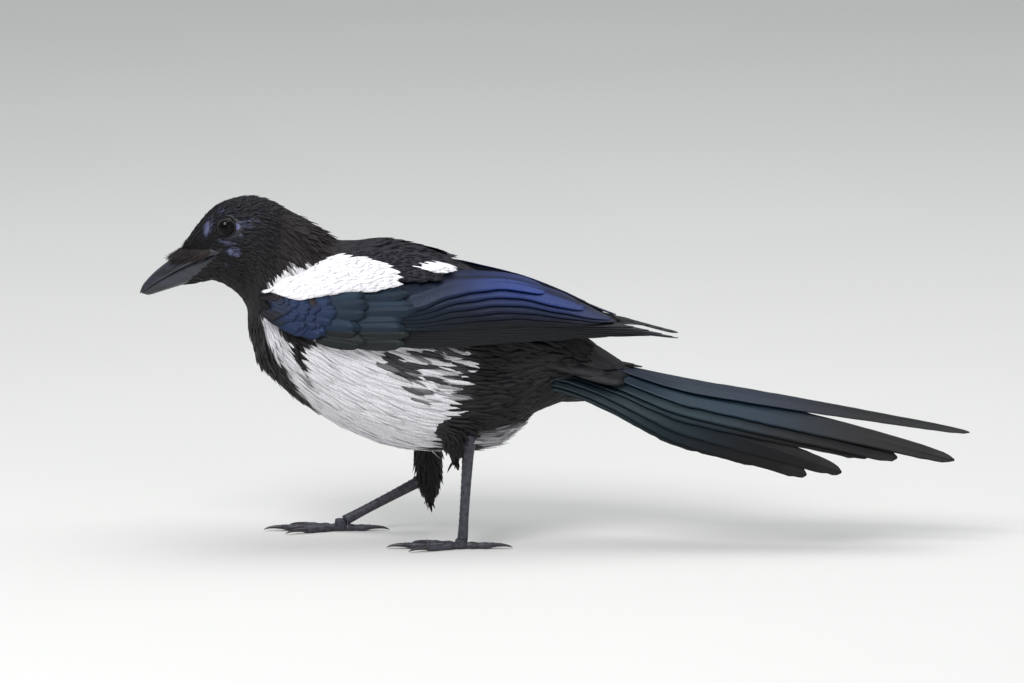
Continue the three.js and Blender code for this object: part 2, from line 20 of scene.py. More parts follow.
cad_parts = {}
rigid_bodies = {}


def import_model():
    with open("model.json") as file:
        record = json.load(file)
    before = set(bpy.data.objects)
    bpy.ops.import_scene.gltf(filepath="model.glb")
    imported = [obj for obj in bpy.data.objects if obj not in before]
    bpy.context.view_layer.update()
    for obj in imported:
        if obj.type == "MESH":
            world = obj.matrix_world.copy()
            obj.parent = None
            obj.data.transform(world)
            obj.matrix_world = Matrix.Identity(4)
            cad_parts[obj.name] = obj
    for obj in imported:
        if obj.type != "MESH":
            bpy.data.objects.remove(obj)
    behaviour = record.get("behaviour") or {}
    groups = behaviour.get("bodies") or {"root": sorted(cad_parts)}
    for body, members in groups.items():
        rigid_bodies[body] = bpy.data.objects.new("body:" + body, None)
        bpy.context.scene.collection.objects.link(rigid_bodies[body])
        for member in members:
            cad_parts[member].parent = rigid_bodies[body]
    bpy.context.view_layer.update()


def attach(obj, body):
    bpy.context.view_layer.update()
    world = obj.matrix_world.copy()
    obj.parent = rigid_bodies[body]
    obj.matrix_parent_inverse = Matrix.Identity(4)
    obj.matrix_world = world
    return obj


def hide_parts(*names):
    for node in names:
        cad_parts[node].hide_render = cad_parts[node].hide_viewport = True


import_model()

LOG = logging.getLogger("magpie")
MM = 0.001
COAT = 1.6  # depth of the small feathers over the skin
LAST_SECTION = 23  # where the body's sections end, in the tail's root
KERATIN_IOR = 1.54
STORE = "GeometryNodeStoreNamedAttribute"
MATH, VECTOR_MATH, NOISE = "ShaderNodeMath", "ShaderNodeVectorMath", "ShaderNodeTexNoise"
MAP_RANGE = "ShaderNodeMapRange"
MULTIPLY, SCALE = {"operation": "MULTIPLY"}, {"operation": "SCALE"}
SWAY_SHARES = (0.35, 0.5, 1.0)  # of a feather's random turn: tipping, rolling and swinging
BAKE_PATCH = 0.003  # width of a feather's patch of the bake's map
EYE_X, EYE_Y, EYE_Z, EYE_RADIUS = -150.4, 11.7, 147.9, 4.9
Array = np.ndarray
Rows = Sequence[Sequence[float]]
Painter = Callable[[Array, Array], Array]


class Slot(Enum):
    """The record's material slots."""

    BLACK = "plumage_black"
    WHITE = "plumage_white"
    WING = "wing_feathers"
    TAIL = "tail_feathers"
    BILL = "bill_horn"
    EYE = "eye"
    LEG = "leg_scales"
    CLAW = "claw_horn"


def linear(colour: str) -> tuple[float, float, float, float]:
    """Turns an sRGB hex value to linear.

    Args:
        colour: A value such as "#1c2f63".

    Returns:
        Linear red, green, blue and an alpha of 1.
    """
    parts = [int(colour[i : i + 2], 16) / 255 for i in (1, 3, 5)]
    low, bend, power = 0.04045, 0.055, 2.4
    red, green, blue = (c / 12.92 if c <= low else ((c + bend) / (1 + bend)) ** power for c in parts)
    return red, green, blue, 1.0


def tint(colour: str) -> Array:
    """The linear red, green and blue of an sRGB hex value, as an array."""
    return np.array(linear(colour)[:3])


def smooth(value: Array, low: float | Array, high: float | Array) -> Array:
    """A smooth step from 0 at low to 1 at high.

    Args:
        value: Where to read it.
        low: The place of 0.
        high: The place of 1.

    Returns:
        Values from 0 to 1.
    """
    t = np.clip((value - low) / (high - low), 0, 1)
    return t * t * (3 - 2 * t)


def mix(first: Array, second: Array, share: Array | float) -> Array:
    """Blends two colours: the first where the share is 0, the second where it is 1."""
    return first + (second - first) * np.asarray(share)[..., None]


def evenly(colour: Array, low: float = 1.0, high: float = 1.0) -> Painter:
    """A painter of one colour, low to high times as bright by chance."""
    return lambda roots, toss: colour * (low + (high - low) * toss)[:, None]


def from_eye(p: Array) -> Array:
    """Distance from the eye's middle, seen from the side, where the ring round it is wider than high."""
    return np.hypot((p[:, 0] - EYE_X) / 1.15, p[:, 2] - EYE_Z)


def round_angles(count: int) -> Array:
    """That many even angles round a circle."""
    return np.linspace(0, math.tau, count, endpoint=False)


def sloping(degrees: float) -> Array:
    """The direction to the tail that drops by so many degrees."""
    slope = math.radians(degrees)
    return np.array([math.cos(slope), 0, -math.sin(slope)])


def unit(vectors: Array) -> Array:
    """The vectors at length 1."""
    return vectors / np.maximum(np.linalg.norm(vectors, axis=-1, keepdims=True), 1e-9)


class Graph:
    """A smooth curve through rows of a place and its values."""

    def __init__(self, rows: Rows) -> None:
        """Keeps the rows and works out the slope at each.

        Args:
            rows: A place and one or more values each, in rising places.
        """
        table = np.array(rows, float)
        self.places, self.values = table[:, 0], table[:, 1:]
        index = np.arange(len(rows))
        before, after = np.maximum(index - 1, 0), np.minimum(index + 1, len(rows) - 1)
        span = (self.places[after] - self.places[before])[:, None]
        self.slopes = (self.values[after] - self.values[before]) / span

    def __call__(self, place: Array | float) -> Array:
        """Reads the curve.

        Args:
            place: One place or an array of them.

        Returns:
            The value there, with a last axis where rows hold several values.
        """
        place = np.clip(np.asarray(place, float), self.places[0], self.places[-1])
        i = np.clip(np.searchsorted(self.places, place) - 1, 0, len(self.places) - 2)
        span = self.places[i + 1] - self.places[i]
        t = ((place - self.places[i]) / span)[..., None]
        span = span[..., None]
        low = (1 + 2 * t) * (1 - t) ** 2 * self.values[i] + t * (1 - t) ** 2 * span * self.slopes[i]
        high = t * t * (3 - 2 * t) * self.values[i + 1] + t * t * (t - 1) * span * self.slopes[i + 1]
        return (low + high)[..., 0] if self.values.shape[1] == 1 else low + high


def curve_field(*rows: Sequence[float]) -> Graph:
    """A dataclass field that holds the curve through these rows."""
    return field(default_factory=lambda: Graph(rows))


def pick(sockets: Sequence[NodeSocket], name: str | int) -> NodeSocket:
    """The socket of that number or name, where several share a name the one in use."""
    if isinstance(name, int):
        return sockets[name]
    return next(s for s in sockets if s.name == name and s.enabled)


def feed(tree: NodeTree, node: Node, links: dict) -> None:
    """Gives a node's inputs what they take.

    Args:
        tree: The tree that it is in.
        node: The node.
        links: For an input's name or number, the output socket or the constant that it takes.
    """
    for name, value in links.items():
        socket = pick(node.inputs, name)
        if isinstance(value, NodeSocket):
            tree.links.new(value, socket)
        else:
            socket.default_value = value


def put(tree: NodeTree, kind: str, settings: dict | None = None, links: dict | None = None) -> Node:
    """Adds a node with its settings and links.

    Args:
        tree: The tree that it goes in.
        kind: The node's type.
        settings: Its properties.
        links: What its inputs take, as in feed.

    Returns:
        The node.
    """
    node = tree.nodes.new(kind)
    for name, value in (settings or {}).items():
        setattr(node, name, value)
    feed(tree, node, links or {})
    return node


def out(node: Node, name: str | int = 0) -> NodeSocket:
    """The node's output of that number or name."""
    return pick(node.outputs, name)


def new_material(name: str) -> tuple[Material, NodeTree, Node]:
    """A new material, its node tree and its surface shader."""
    mat = bpy.data.materials.new(name)
    mat.use_nodes = True
    return mat, mat.node_tree, mat.node_tree.nodes["Principled BSDF"]


def make_mesh(name: str, verts: Array, faces: Rows | Array) -> Object:
    """Makes a smooth object from millimetre points.

    Args:
        name: The object's name.
        verts: Points in mm.
        faces: Corners of each face.

    Returns:
        The object, linked to the scene.
    """
    mesh = bpy.data.meshes.new(name)
    corners = faces.tolist() if isinstance(faces, Array) else list(faces)
    mesh.from_pydata((np.asarray(verts) * MM).tolist(), [], corners)
    mesh.polygons.foreach_set("use_smooth", [True] * len(mesh.polygons))
    mesh.update()
    piece = bpy.data.objects.new(name, mesh)
    bpy.context.scene.collection.objects.link(piece)
    return piece


def places_mm(mesh: Mesh) -> Array:
    """The mesh's points in mm."""
    places = np.empty(len(mesh.vertices) * 3, np.float32)
    mesh.vertices.foreach_get("co", places)
    return places.reshape(-1, 3) / MM


def add_map(mesh: Mesh, name: str, values: Array) -> None:
    """Writes a UV map from two numbers for each vertex."""
    corners = np.empty(len(mesh.loops), np.int32)
    mesh.loops.foreach_get("vertex_index", corners)
    layer = mesh.uv_layers.new(name=name)
    layer.uv.foreach_set("vector", values[corners].astype(np.float32).ravel())


def store(mesh: Mesh, name: str, kind: str, values: Array) -> None:
    """Writes a point attribute.

    Args:
        mesh: The mesh that holds it.
        name: The attribute's name.
        kind: FLOAT, FLOAT_VECTOR or FLOAT_COLOR.
        values: One row for each vertex.
    """
    layer = mesh.attributes.new(name, kind, "POINT")
    key = {"FLOAT": "value", "FLOAT_VECTOR": "vector", "FLOAT_COLOR": "color"}[kind]
    if kind == "FLOAT_COLOR":
        values = np.column_stack([values, np.ones(len(values))])
    layer.data.foreach_set(key, np.ascontiguousarray(values, dtype=np.float32).ravel())


def read_vectors(mesh: Mesh, name: str) -> Array:
    """Reads a point attribute of three numbers a vertex."""
    values = np.empty(len(mesh.vertices) * 3, np.float32)
    mesh.attributes[name].data.foreach_get("vector", values)
    return values.reshape(-1, 3)


def grid_faces(rows: int, columns: int, closed: bool = False) -> Array:
    """The quads of a grid of points.

    Args:
        rows: Points along.
        columns: Points across.
        closed: Whether the last column joins the first.

    Returns:
        Corners of each quad.
    """
    across = np.arange(columns if closed else columns - 1)
    along = np.arange(rows - 1)[:, None] * columns
    near, far = along + across, along + (across + 1) % columns
    return np.stack([near, far, far + columns, near + columns], -1).reshape(-1, 4)


def blade_faces(rows: int, columns: int) -> Array:
    """The quads of a thin closed blade: its upper face, its lower face and the rim between them.

    Args:
        rows: Points along.
        columns: Points across.

    Returns:
        Corners of each quad. The lower face's points follow all those of the upper face.
    """
    upper, count = grid_faces(rows, columns), rows * columns
    number = np.arange(count).reshape(rows, columns)
    rim = np.concatenate([number[0], number[1:, -1], number[-1, -2::-1], number[-2:0:-1, 0]])
    following = np.roll(rim, -1)
    sides = np.stack([rim + count, following + count, following, rim], -1)
    return np.concatenate([upper, upper[:, ::-1] + count, sides])


def tube(name: str, rings: Array, material: Material | None = None) -> Object:
    """A closed body through rings of points.

    Args:
        name: The object's name.
        rings: Points in mm, as rings by corners by 3.
        material: Its finish.

    Returns:
        The object, with its faces outward.
    """
    count, corners = rings.shape[:2]
    quads = grid_faces(count, corners, closed=True)
    hubs = rings[[0, -1]].mean(axis=1)
    verts = np.concatenate([rings.reshape(-1, 3), hubs])
    base, k = (count - 1) * corners, np.arange(corners)
    n = count * corners
    first = np.stack([np.full(corners, n), (k + 1) % corners, k], -1)
    last = np.stack([np.full(corners, n + 1), base + k, base + (k + 1) % corners], -1)
    faces = quads.tolist() + first.tolist() + last.tolist()
    a, b, c = (verts[quads[:, i]] for i in (0, 1, 2))
    if np.einsum("ij,ij->i", a - hubs.mean(axis=0), np.cross(b - a, c - a)).sum() < 0:
        faces = [face[::-1] for face in faces]
    piece = make_mesh(name, verts, faces)
    if material:
        piece.data.materials.append(material)
    return piece


def joined(name: str, pieces: Sequence[Object]) -> Object:
    """Joins several pieces into one.

    Args:
        name: The name of what they become.
        pieces: The objects, of which the first is kept.

    Returns:
        The joined object.
    """
    first = pieces[0]
    with bpy.context.temp_override(active_object=first, selected_editable_objects=list(pieces)):
        bpy.ops.object.join()
    first.name = first.data.name = name
    return first


def finished(piece: Object, slot: Slot, *nodes: str) -> Object:
    """Makes a piece part of the bird.

    Args:
        piece: The finished object.
        slot: Not used.
        nodes: The solids that it stands for.

    Returns:
        The same piece.
    """
    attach(piece, "root")
    if nodes:
        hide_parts(*nodes)
    LOG.info("%s: %d faces", piece.name, len(piece.data.polygons))
    return piece


# Finishes
@dataclass(frozen=True)
class FeatherFinish:
    """Keratin barbs in a vane, coloured by melanin and by thin layers that shine blue and green."""

    name: str
    metallic: float = 0.0
    roughness: float = 0.5
    sheen: float = 0.0
    shine: float = 0.4
    barb_mm: float = 0.8  # the real barbs are finer than the picture shows
    relief: float = 0.35
    map_name: str = "vane"

    def material(self) -> Material:
        """Barbs run out and forward from the shaft, and break the shine into fine streaks."""
        mat, tree, shader = new_material(self.name)
        colour = put(tree, "ShaderNodeAttribute", {"attribute_name": "plumage"})
        place = put(tree, "ShaderNodeAttribute", {"attribute_name": self.map_name})
        split = put(tree, "ShaderNodeSeparateXYZ", links={0: out(place, "Vector")})
        side = put(tree, MATH, {"operation": "ABSOLUTE"}, {0: out(split, "X")})
        slant = put(tree, MATH, {"operation": "SUBTRACT"}, {0: out(split, "Y"), 1: out(side)})
        turns = math.tau / self.barb_mm
        fine = put(tree, MATH, MULTIPLY, {0: out(slant), 1: turns})
        barbs = put(tree, MATH, {"operation": "SINE"}, {0: out(fine)})
        along = put(tree, "ShaderNodeCombineXYZ", links={0: out(slant), 1: out(split, "X")})
        wear = put(tree, NOISE, links={"Vector": out(along), "Scale": 1 / self.barb_mm, "Detail": 3.0})
        shade = put(tree, MAP_RANGE, links={
            "Value": out(wear, "Fac"), "From Min": 0.3, "From Max": 0.7, "To Min": 0.72, "To Max": 1.22,
        })
        scaled = put(tree, VECTOR_MATH, SCALE, {0: out(colour, "Color"), "Scale": out(shade)})
        rough = put(tree, MAP_RANGE, links={
            "Value": out(wear, "Fac"), "From Min": 0.2, "From Max": 0.8,
            "To Min": self.roughness - 0.1, "To Max": self.roughness + 0.12,
        })
        mixed = put(tree, MATH, {"operation": "ADD"}, {0: out(barbs), 1: out(wear, "Fac")})
        bump = put(tree, "ShaderNodeBump", links={
            "Height": out(mixed), "Strength": self.relief, "Distance": 0.12 * MM,
        })
        feed(tree, shader, {
            "Base Color": out(scaled), "Roughness": out(rough), "Normal": out(bump),
            "Metallic": self.metallic, "Sheen Weight": self.sheen, "Sheen Roughness": 0.4,
            "Specular IOR Level": self.shine, "IOR": KERATIN_IOR,
        })
        return mat


@dataclass(frozen=True)
class HideFinish:
    """Bare skin or horn: a base colour with mottling and a fine grain."""

    name: str
    grain_mm: float
    roughness: float
    relief: float = 0.4
    coat: float = 0.0
    dark: str = "#15151a"
    light: str = "#3c3d4b"
    stretch: tuple[float, float, float] = (1.0, 1.0, 1.0)
    painted: bool = False

    def material(self) -> Material:
        """Colour comes from broad mottling, height and roughness from a fine grain."""
        mat, tree, shader = new_material(self.name)
        where = put(tree, "ShaderNodeTexCoord")
        size = 1 / (self.grain_mm * MM)
        scale = tuple(size * s for s in self.stretch)
        space = put(tree, "ShaderNodeMapping", links={"Vector": out(where, "Object"), "Scale": scale})
        grain = put(tree, NOISE, links={
            "Vector": out(space), "Scale": 1.0, "Detail": 4.0, "Roughness": 0.6,
        })
        mottle = put(tree, NOISE, links={"Vector": out(space), "Scale": 0.18, "Detail": 2.0})
        if self.painted:
            paint_layer = put(tree, "ShaderNodeAttribute", {"attribute_name": "plumage"})
            shade = put(tree, MAP_RANGE, links={"Value": out(mottle, "Fac"), "To Min": 0.7, "To Max": 1.3})
            base = out(put(tree, VECTOR_MATH, SCALE, {0: out(paint_layer, "Color"), "Scale": out(shade)}))
        else:
            blend = put(tree, MAP_RANGE, links={
                "Value": out(mottle, "Fac"), "From Min": 0.35, "From Max": 0.65,
            })
            base = out(put(tree, "ShaderNodeMix", {"data_type": "RGBA"}, {
                0: out(blend), 6: linear(self.dark), 7: linear(self.light),
            }), 2)
        rough = put(tree, MAP_RANGE, links={
            "Value": out(grain, "Fac"), "To Min": self.roughness - 0.1, "To Max": self.roughness + 0.15,
        })
        bump = put(tree, "ShaderNodeBump", links={
            "Height": out(grain, "Fac"), "Strength": self.relief, "Distance": 0.15 * MM,
        })
        feed(tree, shader, {
            "Base Color": base, "Roughness": out(rough), "Normal": out(bump), "Coat Weight": self.coat,
            "Coat Roughness": 0.25,
        })
        return mat


# A glossy contour feather of the head and body: black melanin with a faint violet shine.
BODY_FEATHER = FeatherFinish("contour feather keratin", 0.1, 0.5, 0.0, 0.3, 0.5, 0.4, "leaf")
# White feathers have no pigment, and scatter the light like paper.
WHITE_FEATHER = FeatherFinish("white feather keratin", 0.0, 0.8, 0.2, 0.4, 0.5, 0.25, "leaf")
# Flight feathers of the wing, with the strongest blue shine.
FLIGHT_FEATHER = FeatherFinish("flight feather keratin", 0.5, 0.4, 0.0, 0.4, 0.9, 0.4)
# Coverts are softer than the flight feathers, with the same thin layers under the surface.
COVERT_FEATHER = FeatherFinish("covert feather keratin", 0.4, 0.45, 0.0, 0.4, 0.6, 0.4, "leaf")
# Tail feathers shine green and violet over black melanin.
TAIL_FEATHER = FeatherFinish("tail feather keratin", 0.45, 0.42, 0.0, 0.4, 1.0, 0.4)
# The horn of the bill is nearly black, with a bluish satin shine along its length.
BILL_HORN = HideFinish("bill horn", 0.5, 0.32, 0.25, 0.35, "#101116", "#262836", (0.25, 1.0, 1.0))
# Claw horn is darker and smoother than the bill.
CLAW_HORN = HideFinish("claw horn", 0.3, 0.35, 0.2, 0.3, "#0f0f12", "#212128")
# Hard purplish slate plates on the shanks and toes.
LEG_HIDE = HideFinish("horny leg scale", 0.35, 0.5, 0.5, 0.1, "#1c1c24", "#393945")
# Skin that shows between the moulting feathers, bluish and pimpled.
BARE_SKIN = HideFinish("bird skin", 0.45, 0.6, 0.8, 0.05, painted=True)
# The wrinkled dark rim of the eye.
LID_SKIN = HideFinish("eyelid skin", 0.3, 0.75, 0.8, 0.0, "#08080b", "#15161d")
# Stiff hair-like feathers over the nostrils, rusty where worn.
BRISTLE = HideFinish("bristle keratin", 0.6, 0.7, 0.2, painted=True)


# Forms
@dataclass
class BodyForm:
    """The feathered body from the bill to the tail's root.

    Each section holds an upper point, a lower point, a half width and the share of its height
    where it is widest. Its number is its place in the list, and 0 is at the bill.
    """

    sections: Rows = (
        (-173.5, 137.0, -166.0, 121.5, 3.2, 0.55),
        (-169.5, 141.2, -162.0, 120.6, 6.6, 0.58),
        (-165.0, 147.0, -157.0, 120.2, 9.6, 0.6),
        (-160.0, 152.9, -152.6, 118.9, 12.6, 0.6),
        (-154.8, 157.0, -148.5, 116.6, 15.2, 0.6),
        (-147.7, 159.8, -145.2, 113.8, 17.0, 0.6),
        (-139.4, 160.9, -142.9, 110.6, 17.8, 0.6),
        (-131.0, 158.9, -141.5, 107.2, 18.4, 0.58),
        (-123.6, 155.2, -141.2, 102.8, 19.6, 0.55),
        (-116.4, 151.2, -140.8, 98.2, 21.8, 0.5),
        (-109.0, 146.0, -139.4, 92.0, 24.8, 0.47),
        (-102.0, 141.4, -137.0, 84.6, 28.0, 0.45),
        (-93.5, 140.2, -130.6, 76.6, 30.8, 0.44),
        (-84.0, 141.0, -119.4, 66.2, 32.6, 0.44),
        (-73.0, 140.2, -103.6, 55.4, 33.4, 0.44),
        (-61.0, 137.2, -87.0, 47.4, 33.4, 0.44),
        (-49.0, 132.4, -69.6, 42.8, 32.4, 0.44),
        (-37.0, 126.6, -52.6, 41.8, 30.2, 0.45),
        (-25.0, 120.2, -36.6, 42.2, 27.2, 0.47),
        (-13.0, 113.0, -24.0, 47.6, 23.4, 0.5),
        (-1.0, 105.2, -12.6, 56.8, 19.6, 0.52),
        (10.0, 98.0, -0.6, 62.6, 16.2, 0.54),
        (18.0, 91.4, 10.2, 64.6, 13.6, 0.56),
    )
    tail_root: float = 21.2
    tail_reach: float = 34.0
    tail_slope: float = 11.6
    wing_seat: float = 3.2

    def __post_init__(self) -> None:
        """Makes one curve through the sections."""
        self.curve = Graph([(i, *row) for i, row in enumerate(self.sections)])

    def surface(self, section: Array, angle: Array, margin: float = 0.0) -> Array:
        """Points on the body.

        Args:
            section: Section numbers.
            angle: Angles round each section, in radians, 0 on the left.
            margin: How far out of the feathered surface.

        Returns:
            Points in mm, one for each section and angle.
        """
        past = np.clip((section - self.tail_root) / 2.0, 0, 1)
        row = self.curve(np.minimum(section, self.tail_root))
        upper_x, upper_z, lower_x, lower_z, half, middle = np.moveaxis(row, -1, 0)
        rise_x, rise_z = upper_x - lower_x, upper_z - lower_z
        grown = margin / np.hypot(rise_x, rise_z)
        up, side = np.sin(angle), np.cos(angle)
        level = middle + up * np.where(up > 0, 1 - middle + grown, middle + grown)
        x, z = lower_x + rise_x * level, lower_z + rise_z * level
        seat = smooth(x, -136, -122) * (1 - smooth(x, -28, 2))
        seat = seat * smooth(level, 0.42, 0.55) * (1 - smooth(level, 0.82, 0.95))
        wide = np.maximum(np.abs(side) ** 0.9 * (half + margin) - self.wing_seat * seat * np.abs(side), 0)
        ring = np.stack([x, -np.sign(side) * wide, z], -1)
        centre = np.stack([(upper_x + lower_x) / 2, 0 * x, (upper_z + lower_z) / 2], -1)
        shrink = (1 - 0.8 * past**1.15)[..., None]
        stretch = sloping(self.tail_slope) * (self.tail_reach * past)[..., None]
        return centre + (ring - centre) * shrink + stretch


class BodyMap:
    """Says, for any point near the body, which section and angle it is at and how the coat lies there."""

    def __init__(self, form: BodyForm) -> None:
        """Samples the body finely and keeps the samples in a tree.

        Args:
            form: The body.
        """
        sections = np.arange(0, LAST_SECTION + 0.01, 0.2)
        section, angle = np.meshgrid(sections, round_angles(72), indexing="ij")
        here = form.surface(section, angle, -COAT)
        ahead = form.surface(section + 0.1, angle, -COAT)
        self.section, self.angle = section.ravel(), angle.ravel()
        self.points = here.reshape(-1, 3)
        self.along = unit(ahead - here).reshape(-1, 3)
        self.tree = KDTree(len(self.points))
        for i, point in enumerate(self.points):
            self.tree.insert(point, i)
        self.tree.balance()

    def nearest(self, points: Array) -> tuple[Array, Array]:
        """Finds the nearest sample of each point.

        Args:
            points: Points in mm.

        Returns:
            The samples' numbers and the distances to them.
        """
        found = [self.tree.find(p) for p in points]
        return np.array([f[1] for f in found]), np.array([f[2] for f in found])

    def unwrap(self, points: Array) -> Array:
        """Places on an unwrap of the body: across is the angle, up is the section.

        Args:
            points: Points in mm.

        Returns:
            Two numbers from 0 to 1 for each point.
        """
        index, away = self.nearest(points)
        round_share, long_share = self.angle[index] / math.tau, self.section[index] / LAST_SECTION
        body = np.column_stack([0.02 + 0.74 * round_share, 0.02 + 0.96 * long_share])
        fore, high = smooth(points[:, 0], -75, -35), smooth(points[:, 2], 5, 60)
        leg = np.column_stack([0.82 + 0.15 * fore, 0.02 + 0.4 * high + 0.5 * (points[:, 1] > 0)])
        return np.where((away > 2.5)[:, None], leg, body)


@dataclass
class WingSheet:
    """The outer face of the folded left wing: 0 degrees is its lower edge, 90 the middle of the back.

    Primaries lie below the seam, and secondaries between the seam and the crest.
    """

    width: Graph = curve_field(
        (-137, 25), (-128, 30.2), (-115, 33.8), (-100, 35.6), (-80, 36.4), (-60, 35.4), (-40, 32.2),
        (-20, 27.4), (0, 22.2), (20, 16.8), (40, 12.4), (58, 9.0))
    low: Graph = curve_field(
        (-137, 110), (-128, 104.5), (-120, 100.6), (-110, 97.0), (-100, 95.8), (-85, 97.2), (-65, 98.6),
        (-45, 99.6), (-10, 100.8), (30, 99.8), (58, 96.2))
    top: Graph = curve_field(
        (-137, 121), (-120, 131), (-100, 138), (-80, 140.4), (-60, 137.6), (-45, 132.4), (-34, 128.6),
        (-16, 124), (2.5, 117), (12, 112.5), (21, 108), (28, 105), (37, 102.2), (47.5, 99.6), (58, 97))
    seam: Graph = curve_field(
        (-110, 12), (-60, 15), (-10, 23), (20, 34), (40, 60), (58, 80))
    crest: Graph = curve_field(
        (-110, 30), (-75, 30), (-60, 37), (-46, 52), (-23, 72), (0, 76), (20, 78), (40, 80), (58, 80))

    def spread(self, x: Array, degrees: Array) -> Array:
        """A point of the sheet for each place along and level across."""
        angle = np.radians(degrees)
        low = self.low(x)
        return np.stack([x, -self.width(x) * np.cos(angle), low + (self.top(x) - low) * np.sin(angle)], -1)

    def frame_at(
        self, x: Array, degrees: Array, lift: Array | float = 0.0
    ) -> tuple[Array, Array, Array, Array]:
        """The sheet's own directions.

        Args:
            x: Places along the wing.
            degrees: Levels across it.
            lift: Distance out of the sheet.

        Returns:
            Points, directions up across the sheet, outward normals and directions to the tail.
        """
        x, degrees = np.broadcast_arrays(np.asarray(x, float), np.asarray(degrees, float))
        point = self.spread(x, degrees)
        along = unit(self.spread(x + 1, degrees) - self.spread(x - 1, degrees))
        across = unit(self.spread(x, degrees + 1) - self.spread(x, degrees - 1))
        normal = unit(np.cross(along, across))
        return point + normal * np.asarray(lift, float)[..., None], across, normal, along

    def laid(
        self, x: Array, level: Array, length: Array | float, root_lift: float, tip_lift: float, droop: float,
        width: float, rise: float = 0.035,
    ) -> "Tier":
        """Feathers that run back along the sheet, each from a sunk root to a tip that lies on top.

        Args:
            x: Places of the roots.
            level: Levels of the roots.
            length: Length of a feather.
            root_lift: How far the roots are out of the sheet.
            tip_lift: How far the tips are.
            droop: Degrees that a tip is lower than its root.
            width: Width of a feather.
            rise: How steeply they stand up before they curl back down, in radians.

        Returns:
            The tier.
        """
        root, _, first, _ = self.frame_at(x, level, root_lift)
        tip, _, last, _ = self.frame_at(x + length, level - droop, tip_lift)
        lie = unit(tip - root)
        up = unit(first + last)
        up = unit(up - lie * np.sum(up * lie, axis=-1, keepdims=True))
        return Tier(root, up, lie, width, length, rise * float(np.mean(length)), rise)

    def level_of(self, points: Array) -> Array:
        """The level in degrees of points beside the sheet."""
        low, top = self.low(points[:, 0]), self.top(points[:, 0])
        return np.degrees(np.arcsin(np.clip((points[:, 2] - low) / (top - low), -1, 1)))


